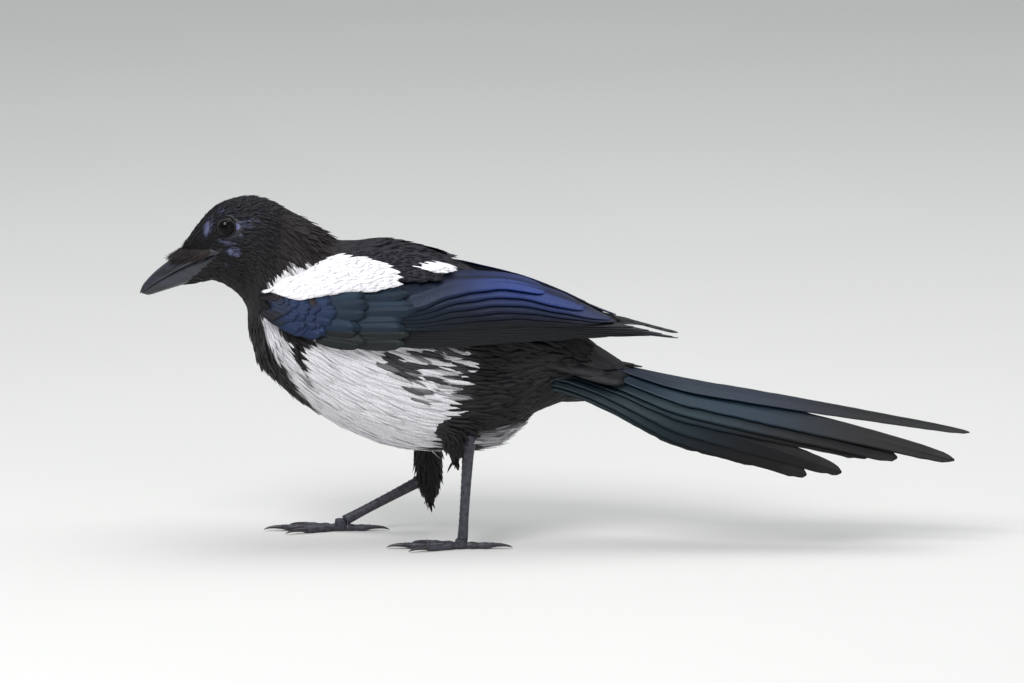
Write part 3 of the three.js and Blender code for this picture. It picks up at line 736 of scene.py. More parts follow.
class Markings:
    """Where the plumage is black, white, brown or blue, by place on the bird."""

    black = tint("#0e0d11")
    # Painted violet sheen, mixed into the crown, the mantle and the black shoulder feathers.
    violet = tint("#14131f")
    brown = tint("#221a1c")
    white = tint("#f2f0f5")
    grey = tint("#77747f")
    bare = tint("#62678a")
    bare_dark = tint("#14151d")
    patch_top = Graph([
        (-134, 122.5), (-131, 128), (-126, 131.5), (-120, 133), (-108, 134.5), (-86, 134), (-78, 131.5),
        (-71, 127)])
    patch_low = Graph([(-134, 119.5), (-128, 120.5), (-117, 118), (-101, 121), (-82, 122.5), (-71, 125)])
    breast_edge = Graph([(60, -114), (71, -118.6), (79, -123.6), (91, -129.6), (102, -133), (110, -135.4)])
    belly_rear = Graph([(44, -70), (50, -62), (58, -59), (67.5, -53), (80, -48), (95, -46), (112, -46)])
    spur_front = Graph([(82, -119.5), (86, -121.5), (91, -123.2), (98, -125.6), (108, -128)])
    spur_rear = Graph([(82, -119), (86, -119), (91, -119.6), (98, -119.5), (102, -114), (108, -106)])
    # x, z, half width, half height and turn of each spot of bare skin on the moulting face
    bare_spots = (
        (-160.2, 145.9, 1.5, 4.1, 0.36), (-149.4, 136.9, 2.5, 1.9, 0.0), (-145.3, 148.6, 1.5, 1.2, 0.0),
        (-140.6, 151.6, 1.3, 3.4, 0.5), (-143.9, 143.8, 0.7, 1.6, 0.1), (-152.0, 141.0, 4.2, 0.9, 0.0),
        (-154.4, 152.6, 3.0, 0.6, 0.35), (-151.9, 130.9, 0.9, 0.8, 0.0),
    )

    def white_share(self, p: Array, toss: Array) -> Array:
        """How white each place is.

        Args:
            p: Points in mm.
            toss: A random number from 0 to 1 for each.

        Returns:
            0 for black to 1 for white.
        """
        x, side, z = p[:, 0], np.abs(p[:, 1]), p[:, 2]
        wobble = (toss - 0.5) * 2
        belly = smooth(x + wobble - self.breast_edge(z), -0.8, 0.8)
        belly = belly * (x + 2 * wobble < self.belly_rear(z)) * (z < 112)
        spur = (x - wobble * 0.5 > self.spur_front(z)) * (x + wobble < self.spur_rear(z))
        belly = belly * (1 - spur * (z > 82) * (side > 8))
        wedge_x, wedge_z = x + 77, z - 86.5
        along, across = wedge_x * 0.64 - wedge_z * 0.77, wedge_x * 0.77 + wedge_z * 0.64
        wedge = np.exp(-((along / 9.5) ** 2) - (across / 3.6) ** 2) * (side > 14)
        streaky = smooth(x, -80, -64) * smooth(z, 62, 82) * (side > 14)
        streak = 0.5 + 0.5 * np.sin(z * 1.15 + x * 0.4 + 1.4 * np.sin(x * 0.23))
        dusk = np.maximum(wedge * 1.3, streaky * 0.62)
        belly = np.where(dusk > 0.08 + 0.65 * streak + 0.27 * toss, belly * 0.1 * toss, belly)
        vent = smooth(x, -46, -42) * (1 - smooth(x, -30, -24))
        vent = vent * (1 - smooth(z + 2 * wobble, 49, 55)) * (side < 20) * 0.6
        edge_z = z + wobble * 0.4
        patch = (edge_z > self.patch_low(x)) * (edge_z < self.patch_top(x))
        patch = patch * (x > -134) * (x < -75) * (side > 8)
        rear_patch = (x > -59.5) * (x < -49) * (z > 129.5) * (z < 132) * (side > 10)
        leg = (z < 47.5) * (side > 10) * (x > -72)
        return np.clip(np.maximum.reduce([belly * (1 - leg), vent, patch * 1.0, rear_patch * 0.95]), 0, 1)

    def bare_share(self, p: Array) -> Array:
        """How bare of feathers each place of the moulting face is.

        Args:
            p: Points in mm.

        Returns:
            0 for feathered to 1 for bare.
        """
        x, z = p[:, 0], p[:, 2]
        share = np.zeros(len(p))
        for middle_x, middle_z, wide, high, turn in self.bare_spots:
            dx, dz = x - middle_x, z - middle_z
            a, b = dx * math.cos(turn) - dz * math.sin(turn), dx * math.sin(turn) + dz * math.cos(turn)
            share = np.maximum(share, 1 - smooth(np.hypot(a / wide, b / high), 0.7, 1.2))
        return share * (np.abs(p[:, 1]) > 6)

    def colour(self, p: Array, toss: Array) -> Array:
        """The colour of a body feather rooted at each place.

        Args:
            p: Points in mm.
            toss: A random number from 0 to 1 for each.

        Returns:
            Linear colours.
        """
        x, z = p[:, 0], p[:, 2]
        nape = smooth(x, -136, -124) * (1 - smooth(x, -104, -94)) * smooth(z, 112, 130)
        # The crown and the mantle are mixed toward the painted violet sheen.
        crown = 0.7 * (1 - smooth(x, -138, -128)) * smooth(z, 136, 150)
        mantle = smooth(x, -104, -96) * smooth(z, 122, 134) + crown
        dark = mix(self.black, self.brown, nape * (0.4 + 0.6 * toss))
        dark = mix(dark, self.violet, mantle * 0.8)
        rusty = smooth(x, -62, -40) * (1 - smooth(z, 90, 108)) * (toss > 0.7)
        dark = mix(dark, self.brown, rusty * 0.8)
        pale = mix(self.white, self.grey, 0.35 * smooth(x, -60, -44) * (1 - toss))
        return mix(dark * (0.8 + 0.4 * toss)[:, None], pale, self.white_share(p, toss))


# Templates that the node trees repeat
def leaf(
    name: str, stations: int, columns: int, outline: Graph, thick: float, camber: float, ridge: float
) -> Object:
    """A feather of unit length along Y and unit width, closed above and below.

    Args:
        name: The template's name.
        stations: Points along.
        columns: Points across.
        outline: Half width along its length.
        thick: Thickness as a share of its length.
        camber: How far its edges drop, as a share of its width.
        ridge: Height of the shaft.

    Returns:
        The template object.
    """
    t = np.linspace(0, 1, stations)
    c = np.linspace(-1, 1, columns)
    half = outline(t)[:, None] * 0.5
    x = half * c
    z = -camber * c**2 * half * 2 + ridge * np.exp(-((c * 3) ** 2)) + 0 * x
    y = t[:, None] + 0 * x
    top = np.stack([x, y, z + thick / 2], -1).reshape(-1, 3)
    lower = np.stack([x * 0.98, y, z - thick / 2], -1).reshape(-1, 3)
    piece = make_mesh(name, np.concatenate([top, lower]) / MM, blade_faces(stations, columns))
    store(piece.data, "t", "FLOAT", np.tile(np.repeat(t, columns), 2))
    place = np.stack([x, y, 0 * x], -1).reshape(-1, 3)
    store(piece.data, "place", "FLOAT_VECTOR", np.tile(place, (2, 1)))
    return piece


class Scatter:
    """Geometry Nodes that set a template on each point and turn the copies to mesh."""

    def __init__(self) -> None:
        """Makes the templates and the two trees."""
        plume = Graph([(0, 0.35), (0.25, 0.85), (0.6, 1.0), (0.85, 0.62), (1, 0.04)])
        round_end = Graph([(0, 0.4), (0.3, 0.9), (0.7, 1.0), (0.9, 0.72), (1, 0.22)])
        thin = Graph([(0, 1.0), (0.5, 0.7), (1, 0.06)])
        plate = Graph([(0, 0.75), (0.3, 1.0), (0.7, 1.0), (1, 0.7)])
        plumes = [leaf(f"plume{i}", 5, 3, plume, 0.02, camber, 0.01) for i, camber in enumerate((0.12, 0.17))]
        templates = {
            "plume": plumes,
            "covert": [leaf("covert0", 8, 7, round_end, 0.02, 0.1, 0.015)],
            "bristle": [leaf("bristle0", 5, 3, thin, 0.02, 0.3, 0.02)],
            "scute": [leaf("scute0", 5, 5, plate, 0.14, 0.3, 0.0)],
        }
        self.kits = {name: self.kit(name, leaves) for name, leaves in templates.items()}
        self.over_surface = self.tree("scatter over a surface", True)
        self.on_points = self.tree("set on points", False)

    @staticmethod
    def kit(name: str, templates: Sequence[Object]) -> Collection:
        """Moves templates out of the scene into a collection of their own."""
        group = bpy.data.collections.new(name)
        for template in templates:
            bpy.context.scene.collection.objects.unlink(template)
            group.objects.link(template)
        return group

    @staticmethod
    def tree(name: str, spread: bool) -> NodeTree:
        """Builds a tree.

        Args:
            name: The tree's name.
            spread: Whether it spreads points over faces, or takes the vertices.

        Returns:
            The tree, which ends in realized copies with a material.
        """
        tree = bpy.data.node_groups.new(name, "GeometryNodeTree")
        sockets = (
            ("Geometry", "Geometry"), ("Templates", "Collection"), ("Spacing", "Float"), ("Seed", "Int"),
            ("Unevenness", "Float"), ("Sway", "Float"), ("Material", "Material"),
        )
        for label, kind in sockets:
            tree.interface.new_socket(name=label, in_out="INPUT", socket_type=f"NodeSocket{kind}")
        tree.interface.new_socket(name="Geometry", in_out="OUTPUT", socket_type="NodeSocketGeometry")
        given = put(tree, "NodeGroupInput")
        named = {
            label: put(tree, "GeometryNodeInputNamedAttribute", {"data_type": kind}, {"Name": label})
            for kind, labels in (("FLOAT_VECTOR", ("lie", "size", "up", "place")),
                                 ("FLOAT", ("cover", "curl", "lift", "t")))
            for label in labels
        }
        value = {label: out(node, "Attribute") for label, node in named.items()}
        if spread:
            sown = put(tree, "GeometryNodeDistributePointsOnFaces", {"distribute_method": "POISSON"}, {
                "Mesh": out(given, "Geometry"), "Distance Min": out(given, "Spacing"), "Density Max": 4.0e6,
                "Density Factor": value["cover"], "Seed": out(given, "Seed"),
            })
            points, normal = out(sown, "Points"), out(sown, "Normal")
        else:
            sown = put(tree, "GeometryNodeMeshToPoints", links={"Mesh": out(given, "Geometry")})
            points, normal = out(sown), value["up"]
        for label, kind, source in (
            ("up", "FLOAT_VECTOR", normal),
            ("root", "FLOAT_VECTOR", out(put(tree, "GeometryNodeInputPosition"))),
            ("feather", "INT", out(put(tree, "GeometryNodeInputIndex"))),
        ):
            points = out(put(tree, STORE, {"data_type": kind, "domain": "POINT"}, {
                "Geometry": points, "Name": label, "Value": source,
            }))
        turned = put(tree, "FunctionNodeAxesToRotation", {"primary_axis": "Z", "secondary_axis": "Y"}, {
            0: value["up"], 1: value["lie"],
        })
        low, high = (
            put(tree, VECTOR_MATH, SCALE, {
                0: tuple(sign * share for share in SWAY_SHARES), "Scale": out(given, "Sway"),
            })
            for sign in (-1, 1)
        )
        sway = put(tree, "FunctionNodeRandomValue", {"data_type": "FLOAT_VECTOR"}, {
            "Min": out(low), "Max": out(high), "Seed": out(given, "Seed"),
        })
        tipped = put(tree, "ShaderNodeCombineXYZ", links={0: value["lift"]})
        euler = put(tree, VECTOR_MATH, {"operation": "ADD"}, {0: out(sway, "Value"), 1: out(tipped)})
        spin = put(tree, "FunctionNodeEulerToRotation", links={0: out(euler)})
        pose = put(tree, "FunctionNodeRotateRotation", {"rotation_space": "LOCAL"}, {
            0: out(turned), 1: out(spin),
        })
        least, most = (
            put(tree, MATH, {"operation": operation}, {0: 1.0, 1: out(given, "Unevenness")})
            for operation in ("SUBTRACT", "ADD")
        )
        other_seed = put(tree, MATH, {"operation": "ADD"}, {0: out(given, "Seed"), 1: 7.0})
        uneven = put(tree, "FunctionNodeRandomValue", {"data_type": "FLOAT"}, {
            "Min": out(least), "Max": out(most), "Seed": out(other_seed),
        })
        size = put(tree, VECTOR_MATH, SCALE, {0: value["size"], "Scale": out(uneven, "Value")})
        kit = put(tree, "GeometryNodeCollectionInfo", links={
            "Collection": out(given, "Templates"), "Separate Children": True, "Reset Children": True,
        })
        which = put(tree, "FunctionNodeRandomValue", {"data_type": "INT"}, {
            "Min": 0, "Max": 9, "Seed": out(given, "Seed"),
        })
        copies = put(tree, "GeometryNodeInstanceOnPoints", links={
            "Points": points, "Instance": out(kit), "Pick Instance": True,
            "Instance Index": out(which, "Value"), "Rotation": out(pose), "Scale": out(size),
        })
        solid = put(tree, "GeometryNodeRealizeInstances", links={"Geometry": out(copies)})
        square = put(tree, MATH, MULTIPLY, {0: value["t"], 1: value["t"]})
        drop = put(tree, MATH, MULTIPLY, {0: out(square), 1: value["curl"]})
        down = put(tree, MATH, MULTIPLY, {0: out(drop), 1: -1.0})
        bend = put(tree, VECTOR_MATH, SCALE, {0: value["up"], "Scale": out(down)})
        bent = put(tree, "GeometryNodeSetPosition", links={"Geometry": out(solid), "Offset": out(bend)})
        sized = put(tree, VECTOR_MATH, MULTIPLY, {0: value["place"], 1: value["size"]})
        kept = put(tree, STORE, {"data_type": "FLOAT_VECTOR", "domain": "POINT"}, {
            "Geometry": out(bent), "Name": "leaf_m", "Value": out(sized),
        })
        dressed = put(tree, "GeometryNodeSetMaterial", links={
            "Geometry": out(kept), "Material": out(given, "Material"),
        })
        put(tree, "NodeGroupOutput", links={0: out(dressed)})
        return tree

    def grow(
        self, name: str, base: Object, kit: str, material: Material,
        spacing: float = 0.0, seed: int = 1, sway: float = 0.1, unevenness: float = 0.15,
    ) -> Object:
        """Grows a piece on a base and removes the base.

        Args:
            name: The piece's name.
            base: A surface, or loose vertices, with the attributes that the trees read.
            kit: Which templates.
            material: The finish.
            spacing: Distance between roots in mm, or 0 to use the vertices.
            seed: Fixes the random draws.
            sway: Random turn, in radians.
            unevenness: Random share of the size.

        Returns:
            The piece, as a plain mesh.
        """
        tree = self.over_surface if spacing else self.on_points
        modifier = base.modifiers.new("grow", "NODES")
        modifier.node_group = tree
        ids = {item.name: item.identifier for item in tree.interface.items_tree if item.in_out == "INPUT"}
        values = {
            "Templates": self.kits[kit], "Spacing": spacing * MM, "Seed": seed, "Unevenness": unevenness,
            "Sway": sway, "Material": material,
        }
        for label, value in values.items():
            modifier[ids[label]] = value
        base.update_tag()
        graph = bpy.context.evaluated_depsgraph_get()
        mesh = bpy.data.meshes.new_from_object(base.evaluated_get(graph), depsgraph=graph)
        piece = bpy.data.objects.new(name, mesh)
        mesh.name = name
        bpy.context.scene.collection.objects.link(piece)
        bpy.data.objects.remove(base, do_unlink=True)
        return piece


def paint(piece: Object, body: BodyMap, colours: Painter, rim: float = 0.0) -> None:
    """Gives each feather of a grown piece its colour, its own map and its patch of the bake's map.

    Args:
        piece: The grown piece.
        body: The unwrap that roots are placed on.
        colours: A function from roots and random numbers to linear colours.
        rim: How much darker a feather's edge and tip are, as painted shade where the feathers overlap; a
            negative rim paints a paler fringe instead.
    """
    mesh = piece.data
    number = np.empty(len(mesh.vertices), np.int32)
    mesh.attributes["feather"].data.foreach_get("value", number)
    _, first, which = np.unique(number, return_index=True, return_inverse=True)
    roots = read_vectors(mesh, "root")[first] / MM
    toss = np.random.default_rng(len(roots)).random(len(roots))
    leaf_mm = read_vectors(mesh, "leaf_m")[:, :2] / MM
    place = read_vectors(mesh, "place")[:, :2]
    # A positive rim darkens each feather's edge and tip: painted shade between overlapping feathers.
    edge = np.maximum(smooth(np.abs(place[:, 0]) * 2, 0.55, 0.95), smooth(place[:, 1], 0.84, 0.98))
    store(mesh, "plumage", "FLOAT_COLOR", colours(roots, toss)[which] * (1 - rim * edge)[:, None])
    spot = body.unwrap(roots)[which]
    shift = toss[which][:, None] * 50
    add_map(mesh, "OFBake", spot + BAKE_PATCH * (place - (0, 0.5)))
    add_map(mesh, "leaf", leaf_mm + (0, 1) * shift)
    for label in ("feather", "root", "leaf_m", "place", "up", "lie", "size", "curl", "lift", "t", "cover"):
        if label in mesh.attributes:
            mesh.attributes.remove(mesh.attributes[label])
    mesh.uv_layers.active = mesh.uv_layers["OFBake"]


@dataclass
class Tier:
    """A base of loose points for feathers that are set one by one."""

    points: Array
    normals: Array
    lies: Array
    widths: Array
    lengths: Array
    curl: float = 0.0
    lift: float = 0.05

    def base(self, name: str) -> Object:
        """The points as an object with the attributes that the trees read."""
        base = make_mesh(name, self.points, [])
        count = len(self.points)
        store(base.data, "up", "FLOAT_VECTOR", self.normals)
        store(base.data, "lie", "FLOAT_VECTOR", self.lies)
        wide, long = np.broadcast_to(self.widths, count) * MM, np.broadcast_to(self.lengths, count) * MM
        store(base.data, "size", "FLOAT_VECTOR", np.column_stack([wide, long, np.minimum(wide, long)]))
        store(base.data, "curl", "FLOAT", np.full(count, self.curl * MM))
        store(base.data, "lift", "FLOAT", np.full(count, self.lift))
        return base


def mirrored(tier: Tier) -> Tier:
    """The same tier on the other side of the bird."""
    flip = np.array([1, -1, 1])
    return replace(tier, points=tier.points * flip, normals=tier.normals * flip, lies=tier.lies * flip)


def both_sides(tier: Tier) -> Tier:
    """The tier and its mirror image as one."""
    sides = (tier, mirrored(tier))
    names = ("points", "normals", "lies")
    joint = {name: np.concatenate([getattr(side, name) for side in sides]) for name in names}
    return replace(tier, **joint, lengths=np.tile(tier.lengths, 2))


# Body
# Each thigh's middle, half width fore and aft and half width across, from the hip down
THIGHS = {
    "left": (
        (-50, -16, 74, 15, 8), (-49, -19, 62, 12, 7.5), (-46.5, -21, 53, 7.6, 5.8), (-46, -22, 46.5, 4, 3.4),
        (-45.4, -22, 41.5, 1, 1),
    ),
    "right": (
        (-58, 16, 70, 17, 8), (-58.5, 18, 58, 12, 7.5), (-58.8, 20, 46, 7.4, 6.2), (-58.6, 21, 34, 6.6, 5.6),
        (-58.2, 22, 24, 5.6, 4.8), (-58.5, 22, 16, 2.2, 2),
    ),
}


def limb_rings(rows: Rows, margin: float = 0.0, stations: int = 24, corners: int = 24) -> Array:
    """Rings of a round limb.

    Args:
        rows: x, y, z, half width fore and aft and half width across, at even steps.
        margin: How far out of the surface.
        stations: Rings.
        corners: Points of a ring.

    Returns:
        Points in mm, as rings by corners by 3.
    """
    curve = Graph([(i, *row) for i, row in enumerate(rows)])
    t = np.linspace(0, len(rows) - 1, stations)
    value = curve(t)
    middle = value[:, :3]
    line = unit(np.gradient(middle, axis=0))
    side = np.array([0.0, 1.0, 0.0])
    fore = unit(np.cross(side, line))
    angle = round_angles(corners)
    width = np.maximum(value[:, 3:] + margin, 0.15)
    ring = fore[:, None] * (width[:, :1] * np.cos(angle))[..., None]
    ring = ring + side * (width[:, 1:] * np.sin(angle))[..., None]
    return middle[:, None] + ring


@dataclass
class Skin:
    """The bird's skin under its coat, in one piece from the bill to the tail and down both thighs."""

    form: BodyForm
    body: BodyMap
    marks: Markings
    voxel: float = 0.95
    # Over the sections: a feather's length, its width and the radius that it bends to
    length: ClassVar[Graph] = Graph([
        (0, 2.6), (2, 3.2), (5, 4.2), (8, 6), (10.5, 8.5), (13, 11), (17, 13), (21, 12), (23, 11)])
    width: ClassVar[Graph] = Graph([(0, 0.7), (3, 1.0), (6, 1.3), (9, 1.8), (12, 2.4), (17, 3.0), (23, 3.2)])
    bend: ClassVar[Graph] = Graph([(0, 6), (5, 10), (9, 22), (14, 46), (20, 40), (23, 60)])

    def build(self) -> Object:
        """Joins the body and the thighs, sinks the eyes' sockets and paints the markings.

        Returns:
            The skin.
        """
        sections = np.linspace(0.4, LAST_SECTION + 0.2, 180)
        section, angle = np.meshgrid(sections, round_angles(96), indexing="ij")
        parts = [tube("skin", self.form.surface(section, angle, -COAT))]
        parts += [tube(f"thigh_{side}", limb_rings(rows, -1.0)) for side, rows in THIGHS.items()]
        skin = joined("skin", parts)
        remesh = skin.modifiers.new("one skin", "REMESH")
        remesh.mode, remesh.voxel_size, remesh.use_smooth_shade = "VOXEL", self.voxel * MM, True
        relax = skin.modifiers.new("relax", "SMOOTH")
        relax.factor, relax.iterations = 0.5, 5
        graph = bpy.context.evaluated_depsgraph_get()
        mesh = bpy.data.meshes.new_from_object(skin.evaluated_get(graph), depsgraph=graph)
        skin.modifiers.clear()
        skin.data = mesh
        mesh.materials.clear()
        mesh.materials.append(BARE_SKIN.material())
        self.shape_face(mesh)
        self.attributes(mesh)
        return finished(skin, Slot.BLACK, "head", "neck", "torso", "rump", "thigh_left", "thigh_right")

    def shape_face(self, mesh: Mesh) -> None:
        """Raises a rim round each eye and swells the cheek under it.

        Args:
            mesh: The skin's mesh.
        """
        p = places_mm(mesh)
        away = np.hypot(p[:, 0] - EYE_X, p[:, 2] - EYE_Z)
        on_side = np.abs(p[:, 1]) > 5
        rim = np.exp(-(((away - EYE_RADIUS - 0.6) / 1.5) ** 2)) * 0.6
        folds = 0.25 * np.sin((away - EYE_RADIUS) * 3.2) * np.exp(-(((away - EYE_RADIUS - 2.0) / 2.0) ** 2))
        hollow = -1.8 * np.exp(-((away / (EYE_RADIUS * 0.7)) ** 2))
        p[:, 1] += np.sign(p[:, 1]) * on_side * (rim + folds + hollow)
        mesh.vertices.foreach_set("co", (p * MM).astype(np.float32).ravel())
        mesh.update()

    def attributes(self, mesh: Mesh) -> None:
        """Writes how the coat lies, its size and its colour at each vertex.

        Args:
            mesh: The skin's mesh.
        """
        p = places_mm(mesh)
        even = np.full(len(p), 0.5)
        index, away = self.body.nearest(p)
        lie = self.body.along[index].copy()
        thigh = smooth(away, 1.5, 3.5) * (p[:, 2] < 80)
        lie = unit(lie * (1 - thigh)[:, None] + np.array([0.1, 0, -1.0]) * thigh[:, None])
        section = self.body.section[index]
        long, wide = self.length(section), self.width(section)
        white = self.marks.white_share(p, even)
        long = long * (1 + 0.3 * white) * (1 - thigh) + 7.5 * thigh
        flank = smooth(p[:, 0], -84, -74) * (p[:, 0] < -34) * (p[:, 2] < 100)
        wide = wide * (1 - 0.4 * np.maximum(white, flank)) * (1 - thigh) + 1.7 * thigh
        store(mesh, "lie", "FLOAT_VECTOR", lie)
        store(mesh, "size", "FLOAT_VECTOR", np.column_stack([wide, long, wide]) * MM)
        bend = np.clip(self.bend(section), 5, 60)
        store(mesh, "curl", "FLOAT", long**2 / (2 * bend) * (1 - 0.8 * thigh) * MM)
        store(mesh, "lift", "FLOAT", np.arcsin(np.clip(COAT / long, 0, 0.4)) * 0.95)
        around = 1 - smooth(from_eye(p), 5.5, 7.5)
        colour = mix(self.marks.colour(p, even) * 0.8, self.marks.bare_dark, around)
        blotch = 0.5 + 0.5 * np.sin(p[:, 0] * 2.1 + 1.7 * np.sin(p[:, 2] * 1.3))
        naked = mix(self.marks.bare_dark, self.marks.bare, 0.45 + 0.55 * blotch)
        bare = np.clip(self.marks.bare_share(p) * 1.3, 0, 1)
        store(mesh, "plumage", "FLOAT_COLOR", mix(colour, naked, bare))


@dataclass
class CoatPatch:
    """One stretch of the coat."""

    name: str
    slot: Slot
    first: float
    last: float
    spacing: float
    white: bool | None = None
    sway: float = 0.12


@dataclass
class Coat:
    """The small body feathers, grown over the skin in overlapping rows that lie to the tail."""

    skin: Object
    body: BodyMap
    marks: Markings
    sheet: WingSheet
    scatter: Scatter
    patches: tuple[CoatPatch, ...] = (
        CoatPatch("coat_face", Slot.BLACK, 0, 5.0, 0.7, sway=0.08),
        CoatPatch("coat_crown", Slot.BLACK, 5.0, 8.4, 0.82, sway=0.08),
        CoatPatch("coat_neck", Slot.BLACK, 8.4, 11.6, 1.1, sway=0.2),
        CoatPatch("coat_breast", Slot.BLACK, 11.6, 15.0, 1.3, False),
        CoatPatch("coat_back", Slot.BLACK, 15.0, 18.0, 1.35, False, 0.16),
        CoatPatch("coat_rump", Slot.BLACK, 18.0, 23.5, 1.4, False, 0.2),
        CoatPatch("coat_belly", Slot.WHITE, 11.0, 16.0, 1.2, True),
        CoatPatch("coat_flank", Slot.WHITE, 16.0, 23.0, 1.15, True, 0.16),
    )

    def region(self, patch: CoatPatch) -> Object:
        """The skin under one patch, with feathers allowed only there.

        Args:
            patch: The patch.

        Returns:
            A copy of the skin's faces with its attributes.
        """
        base = self.skin.copy()
        base.data = self.skin.data.copy()
        base.animation_data_clear()
        bpy.context.scene.collection.objects.link(base)
        p = places_mm(base.data)
        section = self.body.section[self.body.nearest(p)[0]]
        share = self.marks.white_share(p, np.full(len(p), 0.5))
        cover = (section >= patch.first) & (section < patch.last)
        if patch.white is not None:
            cover &= (share > 0.5) == patch.white
        cover &= self.marks.bare_share(p) < 0.5
        level = self.sheet.level_of(p)
        under = (p[:, 0] > -119) & (p[:, 0] < 8) & (level > 8) & (level < 40) & (np.abs(p[:, 1]) > 9)
        cover &= ~under
        cover &= (section < 21) | (p[:, 2] < 76) & (section < 22.3)
        cover &= ~((from_eye(p) < EYE_RADIUS + 0.5) & (np.abs(p[:, 1]) > 5))
        gape = (p[:, 2] < Bill.bristle_line(p[:, 0])) & (p[:, 2] > Bill.chin_line(p[:, 0]))
        cover &= ~(gape & (p[:, 0] < Bill.base))
        store(base.data, "cover", "FLOAT", cover.astype(float))
        return base

    def build(self) -> None:
        """Grows each patch and paints its feathers."""
        black, white = BODY_FEATHER.material(), WHITE_FEATHER.material()
        for number, patch in enumerate(self.patches):
            base = self.region(patch)
            material = white if patch.white else black
            piece = self.scatter.grow(
                patch.name, base, "plume", material, patch.spacing, 11 + number, patch.sway, 0.2
            )
            paint(piece, self.body, self.marks.colour)
            finished(piece, patch.slot)


# Long feathers
def vane(
    centre: Array, across: Array, normal: Array, left: Array, right: Array, thick: Array, columns: int = 9
) -> tuple[Array, Array, Array]:
    """A long feather as a closed blade.

    Args:
        centre: Points along its shaft.
        across: Directions over its width.
        normal: Directions out of its upper face.
        left: Width of the vane before the shaft.
        right: Width of the vane behind it.
        thick: Thickness along its length.
        columns: Points across.

    Returns:
        Points, faces, and each point's distance across and along in mm.
    """
    c = np.linspace(-1, 1, columns)
    offset = np.where(c < 0, left[:, None] * c, right[:, None] * c)
    shaft, droop = 0.22 * np.exp(-((offset / 0.5) ** 2)), 0.035 * np.abs(offset)
    flat, half = centre[:, None] + across[:, None] * offset[..., None], thick[:, None] / 2
    upper, lower = (flat + normal[:, None] * (shaft - droop + rise)[..., None] for rise in (half, -half))
    verts = np.concatenate([upper.reshape(-1, 3), lower.reshape(-1, 3)])
    quads = blade_faces(len(centre), columns)
    a, b, _, d = verts[quads[0]]
    if np.dot(np.cross(b - a, d - a), normal[0]) < 0:
        quads = quads[:, ::-1]
    length = np.concatenate([[0], np.cumsum(np.linalg.norm(np.diff(centre, axis=0), axis=1))])
    place = np.stack([offset, np.broadcast_to(length[:, None], offset.shape)], -1).reshape(-1, 2)
    return verts, quads, np.concatenate([place, place])


class Plumes:
    """Gathers long feathers into one piece with their own maps."""

    def __init__(self) -> None:
        """Starts with no feathers."""
        self.verts: list[Array] = []
        self.faces: list[Array] = []
        self.places: list[Array] = []
        self.colours: list[Array] = []
        self.count = 0

    def add(self, blade: tuple[Array, Array, Array], colour: Array) -> None:
        """Adds a feather.

        Args:
            blade: What vane gives.
            colour: A colour for each point of its upper face.
        """
        verts, faces, place = blade
        self.verts.append(verts)
        self.faces.append(faces + self.count)
        self.places.append(place + (0, 300 * len(self.verts)))
        self.colours.append(np.concatenate([colour, colour]))
        self.count += len(verts)

    def piece(self, name: str, material: Material, flip: bool = False) -> Object:
        """Makes the mesh.

        Args:
            name: The piece's name.
            material: The finish.
            flip: Whether it is mirrored to the right side.

        Returns:
            The piece.
        """
        verts, faces = np.concatenate(self.verts), np.concatenate(self.faces)
        if flip:
            verts = verts * np.array([1, -1, 1])
            faces = faces[:, ::-1]
        piece = make_mesh(name, verts, faces)
        store(piece.data, "plumage", "FLOAT_COLOR", np.concatenate(self.colours))
        add_map(piece.data, "vane", np.concatenate(self.places))
        piece.data.materials.append(material)
        return piece


def vane_outline(t: Array, tip_start: float, tip_width: float) -> Array:
    """Half width along a long feather: a narrow root, an even middle and a rounded tip."""
    root = 0.45 + 0.55 * smooth(t, 0, 0.3)
    end = np.clip((t - tip_start) / (1 - tip_start), 0, 1)
    return root * (tip_width + (1 - tip_width) * np.sqrt(np.maximum(1 - end**2.2, 0)))


